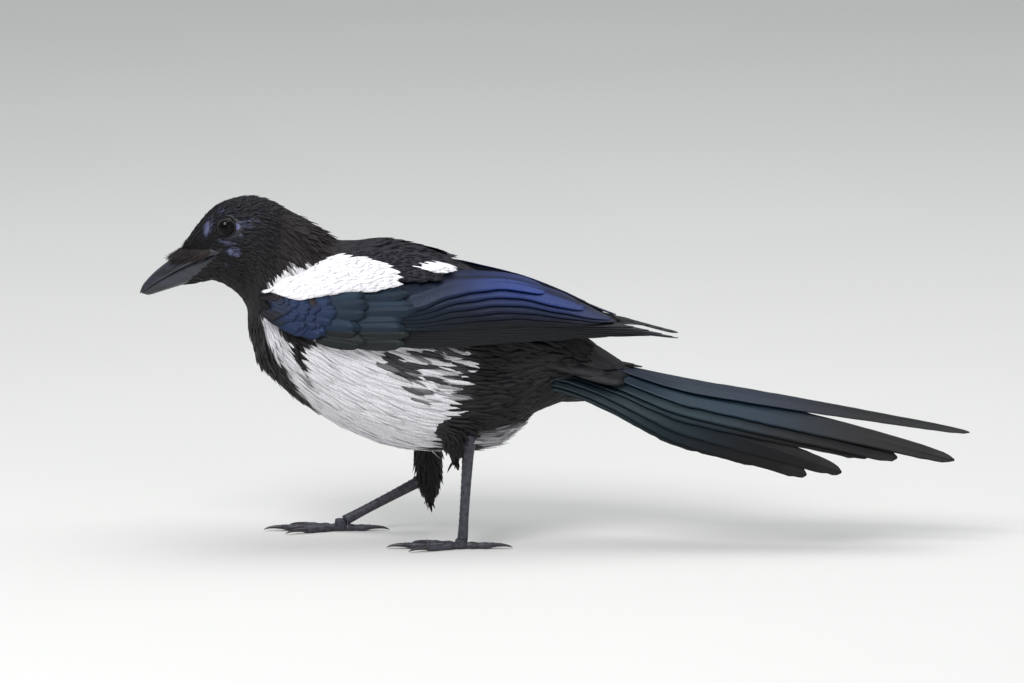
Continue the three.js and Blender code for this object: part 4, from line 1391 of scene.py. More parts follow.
@dataclass
class Wing:
    """Both folded wings: flight feathers in a stack, with the coverts in rows over their roots."""

    sheet: WingSheet
    body: BodyMap
    scatter: Scatter
    marks: Markings
    primary_root: float = -84.0
    secondary_root: float = -92.0
    primary_tips: tuple[float, ...] = (14, 30, 45, 56.5, 54, 49, 43, 36)
    secondary_tips: tuple[float, ...] = (19, 22, 25, 28, 26, 14, -4)
    layer: float = 0.3
    lean_most: float = 0.3
    sunk_share: float = 0.55
    blues: tuple[str, ...] = ("#0a0b10", "#0c101b", "#0f1830", "#15244e", "#1c316c")
    # Count, lowest and highest level, root, length, width and lift of the tips of each row of coverts
    covert_rows: Rows = (
        (5, 2, 14, -99, 25, 6.5, 0.3), (4, 3, 11, -112, 20, 5.5, 0.4), (11, 10, 47, -112, 40, 8.8, 0.3),
        (13, 9, 48, -119, 25, 8.0, 0.4), (15, 8, 48, -124, 17, 6.8, 0.5), (15, 7, 48, -127.5, 14, 6.0, 0.55),
        (15, 7, 47, -130.5, 12.5, 5.4, 0.55), (14, 8, 46, -133.5, 11, 4.8, 0.5),
        (12, 10, 44, -136, 9, 4.4, 0.4),
    )
    worn_spots: Rows = ((-129.0, 114.5, 1.8), (-113.5, 119.0, 3.0))  # x, z, reach

    def level(self, i: int, x: Array) -> Array:
        """The level across the wing of flight feather i, counted up from the lower edge."""
        low, high = 0 * x, self.sheet.seam(x)
        share = (i + 0.5) / len(self.primary_tips)
        if i >= len(self.primary_tips):
            low, high = self.sheet.seam(x), self.sheet.crest(x)
            share = ((i - len(self.primary_tips) + 0.5) / len(self.secondary_tips)) ** 1.5
        return low + (high - low) * share

    def pitch(self, i: int, x: Array) -> Array:
        """The distance from feather i to the next one up."""
        here, there = self.sheet.spread(x, self.level(i, x)), self.sheet.spread(x, self.level(i + 1, x))
        return np.maximum(np.linalg.norm(there - here, axis=-1), 0.2)

    def lean(self, i: int, x: Array) -> Array:
        """How steeply feather i leans on the one below."""
        return np.minimum(self.lean_most, self.layer / self.pitch(i, x))

    def lift(self, i: int, x: Array) -> Array:
        """How far feather i stands out of the sheet, with all that it lies on."""
        total = np.zeros_like(x)
        for k in range(i):
            total += self.layer - self.lean(k, x) * self.pitch(k, x)
        return total

    def flight_colour(self, i: int, points: Array, place: Array) -> Array:
        """The colour over one flight feather.

        Args:
            i: Its number.
            points: Points on its face.
            place: Distances across and along it.

        Returns:
            Linear colours.
        """
        primaries = len(self.primary_tips)
        x, up = points[:, 0], place[:, 0]
        if i < primaries:
            base = mix(tint("#101114"), tint("#2a2d31"), 0.9 * smooth(x, 5, 50))
            return mix(base, tint("#23282b"), 0.4 * smooth(-up, 1.5, 4))
        share = (i - primaries) / (len(self.secondary_tips) - 1)
        at = share * (len(self.blues) - 1)
        k = min(int(at), len(self.blues) - 2)
        base = mix(tint(self.blues[k]), tint(self.blues[k + 1]), at - k)
        base = base * (0.35 + 1.05 * smooth(x, -62, -2))[:, None]
        base = mix(base, tint("#0d1a28"), 0.8 * (1 - smooth(x, -62, -22)))
        base = mix(base, tint("#0a0b10"), 0.7 * smooth(up, 0.5, 4) * (1 - 0.6 * share))
        return mix(base, tint("#2a2a2e"), 0.6 * (1 - share) * smooth(x, -10, 24))

    def flight(self) -> Plumes:
        """The primaries and secondaries of the left wing.

        Returns:
            The feathers, ready to be made on either side.
        """
        stack = Plumes()
        primaries = len(self.primary_tips)
        tips = self.primary_tips + self.secondary_tips
        rng = np.random.default_rng(5)
        for i, tip in enumerate(tips):
            root = self.primary_root if i < primaries else self.secondary_root
            t = np.linspace(0, 1, 30)
            x = root + (tip - root) * (1 - (1 - t) ** 1.25)
            t = (x - root) / (tip - root)
            sunk = -2.4 * (1 - smooth(x, root, root + 32))
            level = self.level(i, x)
            sinking = self.sunk_share * self.lift(len(tips) - 1, x)
            point, across, normal, _ = self.sheet.frame_at(x, level, self.lift(i, x) - sinking + sunk - 0.9)
            slope = self.lean(min(i, len(tips) - 2), x)[:, None]
            tilted, upright = unit(across - slope * normal), unit(normal + slope * across)
            taper = smooth(x, 0, 58)
            full = 4.4 - 0.7 * taper
            if i >= primaries:
                full = (6.0 + 0.4 * (i - primaries)) * (1 - 0.38 * taper)
            half = full * vane_outline(t, 0.88, 0.15)
            wave = 1 + 0.03 * np.sin(t * 40 + 6 * rng.random())
            blade = vane(point, tilted, upright, half * wave, half * 0.95, 0.3 - 0.15 * smooth(t, 0.8, 1))
            upper = blade[0][: len(blade[0]) // 2]
            stack.add(blade, self.flight_colour(i, upper, blade[2][: len(upper)]))
        return stack

    def rows(self) -> list[Tier]:
        """The covert rows of the left wing, from the shoulder back."""
        rng = np.random.default_rng(3)
        tiers = []
        for count, low, high, root, length, width, lift in self.covert_rows:
            share = (np.arange(count) + 0.5) / count
            x = root + 6 * np.sin(np.pi * share) + rng.normal(0, 0.5, count)
            level = low + (high - low) * share + rng.normal(0, 0.4, count)
            tiers.append(self.sheet.laid(x, level, length, -0.8, lift, 3.0, width))
        return tiers

    def covert_colour(self, middles: Array, toss: Array) -> Array:
        """Dark at the shoulder, brown where worn, then blue to green.

        Args:
            middles: Middles of the feathers in mm.
            toss: A random number for each.

        Returns:
            Linear colours.
        """
        x, z = middles[:, 0], middles[:, 2]
        base = mix(tint("#11131c"), tint("#15284a"), smooth(x, -129, -121))
        rear = np.maximum(smooth(x, -112, -98), 1 - smooth(z, 101, 107))
        base = mix(base, tint("#0e2431"), 0.85 * rear)
        base = mix(base, tint("#141a1b"), (x > -99) & (z < 104))
        for worn_x, worn_z, reach in self.worn_spots:
            fresh = smooth(np.hypot(x - worn_x, z - worn_z), reach, reach + 2)
            base = mix(base, tint("#241e21"), 1 - fresh)
        return base * (0.85 + 0.3 * toss)[:, None]

    def scapulars(self) -> dict[bool, Tier]:
        """The shoulder feathers over the wing's upper edge, in white and in black.

        Returns:
            The white tier under True and the black one under False.
        """
        rng = np.random.default_rng(8)
        x, level = np.meshgrid(np.arange(-134, -50, 1.6), np.arange(30, 68, 1.5), indexing="ij")
        x, level = (places.ravel() + rng.normal(0, 0.5, places.size) for places in (x, level))
        length = 6 + 5 * smooth(x, -132, -114)
        tier = self.sheet.laid(x, level, length, 0.5, 1.4, 1.5, 2.8)
        flat = self.sheet.laid(x, level, length, 0.2, 0.7, 1.5, 2.8)
        middle = tier.points + tier.lies * 0.55 * length[:, None]
        white = self.marks.white_share(middle, np.full(len(x), 0.5)) > 0.5
        edge = np.where(middle[:, 0] > -74, 126.5, self.marks.patch_low(middle[:, 0]) + 4)
        above = (middle[:, 2] > edge) & (x < -60)
        chosen = {}
        for pale, laid, keep in ((True, tier, white), (False, flat, ~white & above)):
            parts = {name: getattr(laid, name)[keep] for name in ("points", "normals", "lies", "lengths")}
            chosen[pale] = replace(laid, **parts)
        return chosen

    def build(self) -> None:
        """Makes both wings."""
        stack, flight, small = self.flight(), FLIGHT_FEATHER.material(), COVERT_FEATHER.material()
        white, black = WHITE_FEATHER.material(), BODY_FEATHER.material()
        for side in ("left", "right"):
            flip = side == "right"
            long = stack.piece(f"wing_flight_{side}", flight, flip)
            finished(long, Slot.WING, f"wing_{side}")
            pieces = []
            for number, tier in enumerate(self.rows()):
                base = (mirrored(tier) if flip else tier).base(f"row{number}")
                row = self.scatter.grow("row", base, "covert", small, 0.0, 40 + number, 0.05, 0.1)
                ahead = np.array([0.6 * tier.lengths, 0, 0])
                # Rows after the first get painted shade along their edges and tips, where they overlap.
                rim = -1.6 if number == 0 else 0.2  # the first row has pale edges
                paint(row, self.body, lambda roots, toss: self.covert_colour(roots + ahead, toss), rim)
                pieces.append(row)
            finished(joined(f"wing_coverts_{side}", pieces), Slot.WING)
            for pale, tier in self.scapulars().items():
                base = (mirrored(tier) if flip else tier).base("scapular_roots")
                colour = "white" if pale else "black"
                name, material = f"scapulars_{colour}_{side}", white if pale else black
                shoulder = self.scatter.grow(name, base, "plume", material, 0.0, 60, 0.035, 0.12)
                # Black shoulder feathers are painted with the violet sheen.
                hue = self.marks.white if pale else self.marks.violet
                paint(shoulder, self.body, evenly(hue, 0.85, 1.1))
                finished(shoulder, Slot.WHITE if pale else Slot.BLACK)


@dataclass
class Tail:
    """Twelve long graduated feathers under an arch, rolled a little to the left, and their coverts."""

    body: BodyMap
    scatter: Scatter
    x: float = 6.0
    z: float = 85.5
    slope: float = 10.1
    roll: float = 25.0
    arch: float = 30.0
    layer: float = 0.9
    start: float = -6.0
    fan: float = 1.7
    # Side, distance across at the root and at the tip, length and layer of each feather
    feathers: Rows = (
        (1, 3, 4.5, 187, 0), (1, 7.5, 9.5, 160, 2), (1, 10, 11.5, 146, 3), (1, 12.5, 14, 131, 4),
        (1, 15, 16.5, 116, 5), (1, 17.5, 19, 100, 6), (-1, 3, 14.4, 181.5, 1), (-1, 7.5, 17.5, 155.5, 2),
        (-1, 10, 19, 143, 3), (-1, 13.5, 29.5, 131.5, 4), (-1, 17, 35, 116, 5), (-1, 19, 32, 98, 6),
    )
    # Place along the tail, length of the feathers and height over it of each row of coverts
    covert_rows: Rows = ((4, 26, 1.0), (-2, 24, 1.6), (-8, 22, 2.2), (-14, 20, 2.6))
    tops: tuple[str, ...] = ("#20283c", "#12283a", "#102632")  # from the top layer down

    def frame_at(self, along: Array, across: Array, depth: Array | float) -> tuple[Array, Array, Array]:
        """A place on the arched tail.

        Args:
            along: Distance from the root.
            across: Distance along the arch, negative on the left.
            depth: How far under the top layer.

        Returns:
            Points, outward normals and directions to the right.
        """
        axis = sloping(self.slope)
        up = np.array([-axis[2], 0, axis[0]])
        right = np.array([0.0, 1.0, 0.0])
        roll = -math.radians(self.roll) * smooth(along, -10, 60)[:, None]
        turned_up = up * np.cos(roll) + right * np.sin(roll)
        turned_right = right * np.cos(roll) - up * np.sin(roll)
        bend = (across / self.arch)[:, None]
        normal = turned_right * np.sin(bend) + turned_up * np.cos(bend)
        tangent = turned_right * np.cos(bend) - turned_up * np.sin(bend)
        hub = np.array([self.x, 0, self.z]) + axis * along[:, None] - up * self.arch
        radius = self.arch - np.broadcast_to(depth, along.shape)[:, None]
        return hub + normal * radius, normal, tangent

    def colour(self, layer: float, place: Array, length: float) -> Array:
        """The colour over one tail feather: violet-blue on the top one, green-blue below, black at the end.

        Args:
            layer: Its layer.
            place: Distances across and along it.
            length: Its length.

        Returns:
            Linear colours.
        """
        top = tint(self.tops[min(int(layer), len(self.tops) - 1)])
        t = place[:, 1] / length
        base = mix(top, tint("#0c1517"), min(layer / 8, 1))
        base = mix(base, tint("#12292e"), 0.4 * np.exp(-(((t - 0.35) / 0.2) ** 2)))
        base = mix(base, tint("#09090c"), smooth(t, 0.45, 0.8))
        return mix(base, tint("#1d1a19"), 0.7 * smooth(t, 0.965, 1))

    def build(self) -> None:
        """Makes the long feathers and their coverts."""
        fan = Plumes()
        rng = np.random.default_rng(21)
        for side, root, tip, length, layer in self.feathers:
            t = 1 - (1 - np.linspace(0, 1, 44)) ** 1.15
            along = self.start + (length - self.start) * t
            across = side * (root + (tip - root) * t**self.fan) + 0.5 * np.sin(t * 3 + rng.random() * 6) * t
            point, normal, tangent = self.frame_at(along, across, layer * self.layer)
            taper = 1 - 0.42 * smooth(along / length, 0.5, 1)
            full = (5.2 + 1.2 * smooth(along, 12, 60)) * taper
            half = full * vane_outline(0.3 + 0.7 * along / length, 0.9, 0.12)
            fray = 1 + (0.02 + 0.1 * smooth(t, 0.85, 1)) * rng.normal(0, 1, len(t)) * (t < 0.995)
            thick = 0.34 - 0.16 * smooth(t, 0.8, 1)
            blade = vane(point, tangent, normal, half * fray, half * np.roll(fray, 3), thick, 11)
            fan.add(blade, self.colour(layer, blade[2][: len(blade[2]) // 2], length))
        finished(fan.piece("tail_feathers", TAIL_FEATHER.material()), Slot.TAIL, "tail")
        self.coverts()

    def coverts(self) -> None:
        """Black feathers over the tail's root."""
        black, count = BODY_FEATHER.material(), 9
        share = (np.arange(count) + 0.5) / count - 0.5
        pieces = []
        for number, (along, length, height) in enumerate(self.covert_rows):
            place = along - 6 * np.abs(share)
            point, normal, _ = self.frame_at(place, share * 34, np.full(count, -height))
            tier = Tier(point, normal, np.tile(sloping(self.slope), (count, 1)), 8.0, length, 2.0, 0.06)
            base = tier.base("tail_covert_roots")
            row = self.scatter.grow("row", base, "covert", black, 0.0, 80 + number, 0.12, 0.2)
            paint(row, self.body, evenly(tint("#141316"), 0.8, 1.3))
            pieces.append(row)
        finished(joined("tail_coverts", pieces), Slot.BLACK)


# Head
@dataclass
class Tufts:
    """Loose ragged feathers of the moult, on the nape and low on the breast."""

    form: BodyForm
    body: BodyMap
    scatter: Scatter

    def tier(
        self, sections: tuple[float, float], degrees: tuple[float, float], count: int, length: float,
        lift: float, seed: int,
    ) -> Tier:
        """Random feathers over a stretch of the body.

        Args:
            sections: First and last section.
            degrees: First and last angle round the body.
            count: How many.
            length: Length of a feather.
            lift: How far they stand off, in radians.
            seed: Fixes the draw.

        Returns:
            The tier.
        """
        rng = np.random.default_rng(seed)
        section, angle = rng.uniform(*sections, count), np.radians(rng.uniform(*degrees, count))
        point = self.form.surface(section, angle, -COAT)
        ahead = self.form.surface(section + 0.1, angle, -COAT)
        beside = self.form.surface(section, angle + 0.02, -COAT)
        middle = (point + self.form.surface(section, angle + math.pi, -COAT)) / 2
        lie, normal = unit(ahead - point), unit(np.cross(ahead - point, beside - point))
        normal = normal * np.sign(np.sum(normal * (point - middle), axis=-1, keepdims=True))
        return Tier(point, normal, lie, 1.3, length * rng.uniform(0.6, 1.1, count), 1.2, lift)

    def build(self) -> None:
        """Makes the two tufts."""
        black = BODY_FEATHER.material()
        for name, tier, hue in (
            ("nape_tuft", self.tier((8.6, 10.4), (55, 125), 260, 8.5, 0.34, 31), "#1d1618"),
            ("breast_tuft", self.tier((11.9, 13.0), (-110, -70), 80, 7.0, 0.3, 32), "#0f0d10"),
        ):
            tuft = self.scatter.grow(name, tier.base("tuft_roots"), "plume", black, 0.0, 33, 0.3, 0.3)
            paint(tuft, self.body, evenly(tint(hue), 0.7, 1.3))
            finished(tuft, Slot.BLACK)


@dataclass
class Bill:
    """The two horny halves of the bill, which meet on a line that bends down to the hooked tip."""

    # The bristles lie above the first line, and the chin's feathers below the second
    bristle_line: ClassVar[Graph] = Graph([(-178, 129), (-167, 134.4), (-154, 137.6)])
    chin_line: ClassVar[Graph] = Graph([(-176, 113.2), (-154, 135.2)])
    base: float = -153.5
    upper_tip: float = -190.6
    lower_tip: float = -189.6
    lower_share: float = 0.9  # width of the lower half as a share of the upper's
    culmen: Graph = curve_field(
        (-190.6, 115.3), (-189.4, 118.4), (-186.8, 121.7), (-183.4, 125.1), (-179, 128.7), (-174, 132.5),
        (-168, 136.6), (-157.5, 141.0))
    mouth: Graph = curve_field(
        (-190.6, 114.9), (-189.4, 115.7), (-186.8, 117.6), (-183.4, 120.2), (-177, 124.3), (-169, 128.9),
        (-161, 133.0), (-155, 135.2))
    keel: Graph = curve_field(
        (-189.2, 114.9), (-186.5, 114.3), (-181.9, 115.6), (-175.5, 117.6), (-168.6, 119.7), (-155, 122.6))
    width: Graph = curve_field(
        (-190.6, 0.5), (-189.2, 1.3), (-186, 2.6), (-180, 4.2), (-172, 6.2), (-165, 8.5), (-160, 10.5),
        (-157.5, 11.3), (-153.5, 12.2))

    def half(self, name: str, outer: Graph, side: int, tip: float, material: Material) -> Object:
        """One half of the bill.

        Args:
            name: The piece's name.
            outer: Its ridge or keel.
            side: 1 for the upper half, -1 for the lower.
            tip: Where it ends.
            material: The finish.

        Returns:
            The piece.
        """
        x = tip + (self.base - tip) * np.linspace(0, 1, 46) ** 1.5
        angle = np.linspace(0, math.pi, 21)
        edge = self.mouth(x) + side * 0.06
        deep = np.maximum(side * (outer(x) - edge), 0.25)
        wide = np.maximum(self.width(x) * (1 if side > 0 else self.lower_share), 0.35)
        high = np.sin(angle) ** 0.85
        ridge = 0.12 * np.exp(-(((angle - math.pi / 2) / 0.25) ** 2)) * (side > 0)
        arch = np.stack([
            np.broadcast_to(x[:, None], (len(x), len(angle))),
            wide[:, None] * np.cos(angle),
            edge[:, None] + side * deep[:, None] * (high + ridge * 0.4),
        ], -1)
        floor = np.linspace(-0.9, 0.9, 9)
        under = np.stack([
            np.broadcast_to(x[:, None], (len(x), 9)), wide[:, None] * floor,
            np.broadcast_to(edge[:, None], (len(x), 9)) + side * 0.05,
        ], -1)
        return tube(name, np.concatenate([arch, under], axis=1), material)

    def build(self) -> None:
        """Makes both halves."""
        horn = BILL_HORN.material()
        finished(self.half("bill_upper_horn", self.culmen, 1, self.upper_tip, horn), Slot.BILL, "bill_upper")
        finished(self.half("bill_lower_horn", self.keel, -1, self.lower_tip, horn), Slot.BILL, "bill_lower")


@dataclass
class Face:
    """Eyes, lids and the bristles over the bill."""

    body: BodyMap
    scatter: Scatter
    bill: Bill
    opening: float = 3.5

    def eye_material(self) -> Material:
        """A dark brown iris round a black pupil, under a wet cornea."""
        mat, tree, shader = new_material("wet cornea")
        ring = put(tree, "ShaderNodeAttribute", {"attribute_name": "ring"})
        grain = put(tree, NOISE, links={"Vector": out(ring, "Vector"), "Scale": 40.0})
        mixed = put(tree, MATH, {"operation": "MULTIPLY_ADD"}, {
            0: out(grain, "Fac"), 1: 0.06, 2: out(ring, "Fac"),
        })
        ramp = put(tree, "ShaderNodeValToRGB", links={0: out(mixed)})
        for stop, place, colour in zip(ramp.color_ramp.elements, (0.52, 0.58), ("#020203", "#0f0907")):
            stop.position, stop.color = place, linear(colour)
        feed(tree, shader, {"Base Color": out(ramp), "Roughness": 0.04, "Specular IOR Level": 0.14})
        return mat

    def eye(self, side: int, material: Material) -> Object:
        """One eyeball, with its cornea a little proud.

        Args:
            side: -1 for the left.
            material: The finish.

        Returns:
            The piece.
        """
        polar = np.linspace(0.02, math.pi - 0.02, 40)
        turn = round_angles(48)
        bulge = EYE_RADIUS * (1 + 0.03 * np.exp(-((polar / 0.5) ** 2)))
        radius, depth = (bulge * np.sin(polar))[:, None], (bulge * np.cos(polar))[:, None]
        rings = np.stack([radius * np.cos(turn), depth + 0 * turn, radius * np.sin(turn)], -1)
        rings = rings * np.array([1, side, 1]) + np.array([EYE_X, side * EYE_Y, EYE_Z])
        piece = tube("eyeball_left" if side < 0 else "eyeball_right", rings, material)
        ring = np.sin(polar) * (polar < 1.6) + (polar >= 1.6)
        store(piece.data, "ring", "FLOAT", np.concatenate([np.repeat(ring, len(turn)), [0.0, 1.0]]))
        return piece

    def lid(self, side: int, material: Material) -> Object:
        """The wrinkled rim of lids round one eye.

        Args:
            side: -1 for the left.
            material: The finish.

        Returns:
            The piece.
        """
        turn, tilt = round_angles(72), round_angles(16)
        opening = self.opening - 0.35 * np.abs(np.sin(turn)) ** 3
        fold = 1 + 0.1 * np.sin(turn * 19) + 0.06 * np.sin(turn * 31 + 1)
        thick = 0.48 * fold * (1 + 0.25 * np.maximum(np.sin(turn), 0))
        reach = opening[:, None] + thick[:, None] * (0.9 + np.cos(tilt) * 1.0)
        depth = 3.15 + 0.7 * np.sin(tilt)[None] * fold[:, None] - 0.12 * (reach - 3.5) ** 2
        lean = 0.18 * np.cos(turn)[:, None] * reach / 4
        rings = np.stack([
            EYE_X + reach * np.cos(turn)[:, None],
            side * (EYE_Y + depth + lean - 0.35),
            EYE_Z + reach * np.sin(turn)[:, None],
        ], -1)
        quads = grid_faces(len(turn) + 1, len(tilt), closed=True) % (len(turn) * len(tilt))
        if side > 0:
            quads = quads[:, ::-1]
        piece = make_mesh("lids_left" if side < 0 else "lids_right", rings.reshape(-1, 3), quads)
        piece.data.materials.append(material)
        return piece

    def on_bill(self, upper: bool, count: int, seed: int) -> tuple[Array, Array, Array]:
        """Random places on the left half of the bill's rear.

        Args:
            upper: Whether they are over the nostrils, or else on the chin.
            count: How many are drawn.
            seed: Fixes the draw.

        Returns:
            The kept places, their normals and the random numbers that they were drawn with.
        """
        rng = np.random.default_rng(seed)
        toss = rng.random(count)
        x = -172 + (16.5 if upper else 18) * toss
        angle = np.radians(rng.uniform(4, 90, count))
        outer, sign = (self.bill.culmen, 1) if upper else (self.bill.keel, -1)
        edge, wide = self.bill.mouth(x), self.bill.width(x) * (1 if upper else self.bill.lower_share)
        z = edge + (outer(x) - edge) * np.sin(angle) ** 0.85
        points = np.stack([x, wide * np.cos(angle), z], -1)
        widening, slope = 0.32, 0.45 if upper else 0.25
        ahead = -widening * np.cos(angle) - sign * slope * np.sin(angle)
        normals = unit(np.stack([ahead, np.cos(angle), sign * np.sin(angle)], -1))
        ragged = rng.normal(0, 0.7, count)
        keep = z > self.bill.bristle_line(x) + ragged if upper else z < self.bill.chin_line(x) + ragged
        return points[keep], normals[keep], toss[keep]

    def bristles(self) -> None:
        """Stiff bristles that lie forward over the nostrils, and the small feathers of the chin."""
        dark, worn = tint("#0c090b"), tint("#33221f")
        for name, upper, count, kit, material in (
            ("bill_bristles", True, 1300, "bristle", BRISTLE.material()),
            ("chin_feathers", False, 1500, "plume", BODY_FEATHER.material()),
        ):
            points, normals, toss = self.on_bill(upper, count, 4)
            way = np.array([-0.85, 0, -0.53]) if upper else np.array([0.9, 0.15, -0.2])
            lies = unit(way - normals * (normals @ way)[:, None])
            width, lengths = (0.5, 6.5 + 3.5 * toss) if upper else (1.0, 4.0 + toss)
            tier = both_sides(Tier(points, normals, lies, width, lengths, 0.3, 0.13))
            piece = self.scatter.grow(name, tier.base("roots"), kit, material, 0.0, 9, 0.22, 0.3)
            paint(piece, self.body, lambda roots, toss: mix(dark, worn, toss**3 * (roots[:, 2] > 131)))
            finished(piece, Slot.BLACK)

    def build(self) -> None:
        """Makes the eyes, the lids and the bristles."""
        cornea, rim = self.eye_material(), LID_SKIN.material()
        for side, name in ((-1, "left"), (1, "right")):
            finished(self.eye(side, cornea), Slot.EYE, f"eye_{name}")
            finished(self.lid(side, rim), Slot.BLACK)
        self.bristles()


# Legs
@dataclass
class Leg:
    """One leg from the ankle down: the scaled shank, four toes and their claws."""

    name: str
    y: float
    ankle: tuple[float, float]
    foot: tuple[float, float]
    heel: float
    scatter: Scatter
    body: BodyMap
    shank: Graph = curve_field(
        (0, 2.4, 2.0), (0.04, 3.1, 2.7), (0.1, 2.9, 2.4), (0.2, 2.4, 2.0), (0.75, 2.0, 1.8), (1, 2.3, 2.1))
    toes: tuple[tuple[str, float, float], ...] = (
        ("middle", 0, 34), ("inner", 24, 25), ("outer", -24, 26), ("hind", 180, 24))
    claw: float = 9.5
    toe_height: float = 1.5
    # Place along it, radius, rise and lowest level
    toe_shape: Graph = curve_field(
        (0, 1.9, 0.6, 0), (0.25, 1.45, 0.1, 0), (0.4, 1.75, 0.2, 0), (0.62, 1.4, 0, 0), (0.8, 1.6, 0.05, 0),
        (1, 1.15, 0, 0))
    claw_shape: Graph = curve_field(
        (0, 1.05, 0.1, 0.2), (0.3, 0.95, 0.35, 0.3), (0.6, 0.7, 0.25, 0.3), (0.85, 0.42, -0.2, 0.25),
        (1, 0.12, -0.9, 0.2))

    @property
    def down(self) -> Array:
        """The direction down the shank."""
        return unit(np.array([self.foot[0] - self.ankle[0], 0, self.foot[1] - self.ankle[1]]))

    def middle(self, t: Array) -> Array:
        """Points in the middle of the shank, from 0 at the ankle to 1 at the foot."""
        (ax, az), (fx, fz) = self.ankle, self.foot
        return np.stack([ax + (fx - ax) * t, np.full_like(t, self.y), az + (fz - az) * t], -1)

    def hub(self, rise: float = 0.0) -> Array:
        """The point that the toes spread from."""
        return np.array([self.foot[0] + self.heel, self.y, self.toe_height + rise])

    @staticmethod
    def ahead(turn: float) -> Array:
        """The direction of a toe turned so many degrees from straight ahead."""
        return np.array([-math.cos(math.radians(turn)), math.sin(math.radians(turn)), 0])

    def shank_rings(self) -> Array:
        """Rings of the shank, flattened a little and knobbed at the ankle."""
        t = np.linspace(0, 1, 40)
        value = self.shank(t)
        side = np.array([0.0, 1.0, 0.0])
        fore = np.cross(side, self.down)
        angle = round_angles(20)
        sharp = 1 + 0.06 * np.cos(angle) ** 2
        ring = fore * (value[:, :1] * np.cos(angle) * sharp)[..., None]
        ring = ring + side * (value[:, 1:] * np.sin(angle))[..., None]
        return self.middle(t)[:, None] + ring

    def toe_rings(self, turn: float, start: float, end: float, shape: Graph, count: int) -> Array:
        """Rings of a toe or claw.

        Args:
            turn: Degrees from straight ahead.
            start: Where it starts from the foot's middle.
            end: Where it ends.
            shape: Radius, rise and lowest level along it.
            count: Rings.

        Returns:
            Points in mm.
        """
        t = np.linspace(0, 1, count)
        radius, rise, flat = np.moveaxis(shape(t), -1, 0)
        ahead = self.ahead(turn)
        side = np.array([-ahead[1], ahead[0], 0])
        along = (start + (end - start) * t)[:, None]
        middle = self.hub() + ahead * along + np.array([0, 0, 1]) * rise[:, None]
        angle = round_angles(16)
        ring = middle[:, None] + side * (radius[:, None] * np.cos(angle))[..., None]
        height = ring[..., 2] + radius[:, None] * np.sin(angle)
        ring[..., 2] = np.maximum(height, flat[:, None] * (np.sin(angle) < 0))
        return ring

    def scutes(self) -> Tier:
        """Overlapping plates down the front of the shank and along each toe."""
        line = self.down
        fore = -np.cross(np.array([0.0, 1.0, 0.0]), line)
        fore = fore * (1 if fore[0] < 0 else -1)
        t = np.linspace(0.06, 0.93, 15)
        width = self.shank(t)
        rows = [(self.middle(t) + fore * (width[:, :1] - 0.12), fore, line, width[:, 1] * 1.7, 4.2)]
        for _, turn, length in self.toes:
            ahead = self.ahead(turn)
            along = np.arange(3.0, length - self.claw - 0.5, 1.7)
            rows.append((self.hub(1.25) + ahead * along[:, None], np.array([0.0, 0, 1]), ahead, 2.5, 2.3))
        parts = zip(*(
            (points, np.tile(up, (len(points), 1)), np.tile(lie, (len(points), 1)),
             np.broadcast_to(wide, len(points)), np.full(len(points), long))
            for points, up, lie, wide, long in rows
        ))
        return Tier(*(np.concatenate(part) for part in parts), 0.0, 0.05)

    def build(self, hide: Material, horn: Material) -> None:
        """Makes the leg's pieces.

        Args:
            hide: The scales' finish.
            horn: The claws' finish.
        """
        finished(tube(f"shank_{self.name}", self.shank_rings(), hide), Slot.LEG, f"tarsus_{self.name}")
        toes = [
            tube("toe", self.toe_rings(turn, -1, length - self.claw, self.toe_shape, 30), hide)
            for _, turn, length in self.toes
        ]
        x = self.foot[0] + self.heel * 0.6
        top = self.foot[1] + 0.4
        knuckle = ((x, self.y, 0.6, 2.2, 2.1), (x, self.y, 2.6, 3.0, 2.7), (x, self.y, top, 2.6, 2.5))
        toes.append(tube("knuckle", limb_rings(knuckle, 0, 14, 20), hide))
        finished(joined(f"toes_{self.name}", toes), Slot.LEG, f"foot_{self.name}")
        base = self.scutes().base("scute_roots")
        plates = self.scatter.grow(f"scutes_{self.name}", base, "scute", hide, 0.0, 3, 0.0, 0.04)
        paint(plates, self.body, evenly(tint("#33333f")))
        finished(plates, Slot.LEG)
        for toe, turn, length in self.toes:
            rings = self.toe_rings(turn, length - self.claw - 0.6, length, self.claw_shape, 24)
            finished(tube(f"talon_{self.name}_{toe}", rings, horn), Slot.CLAW, f"claw_{self.name}_{toe}")


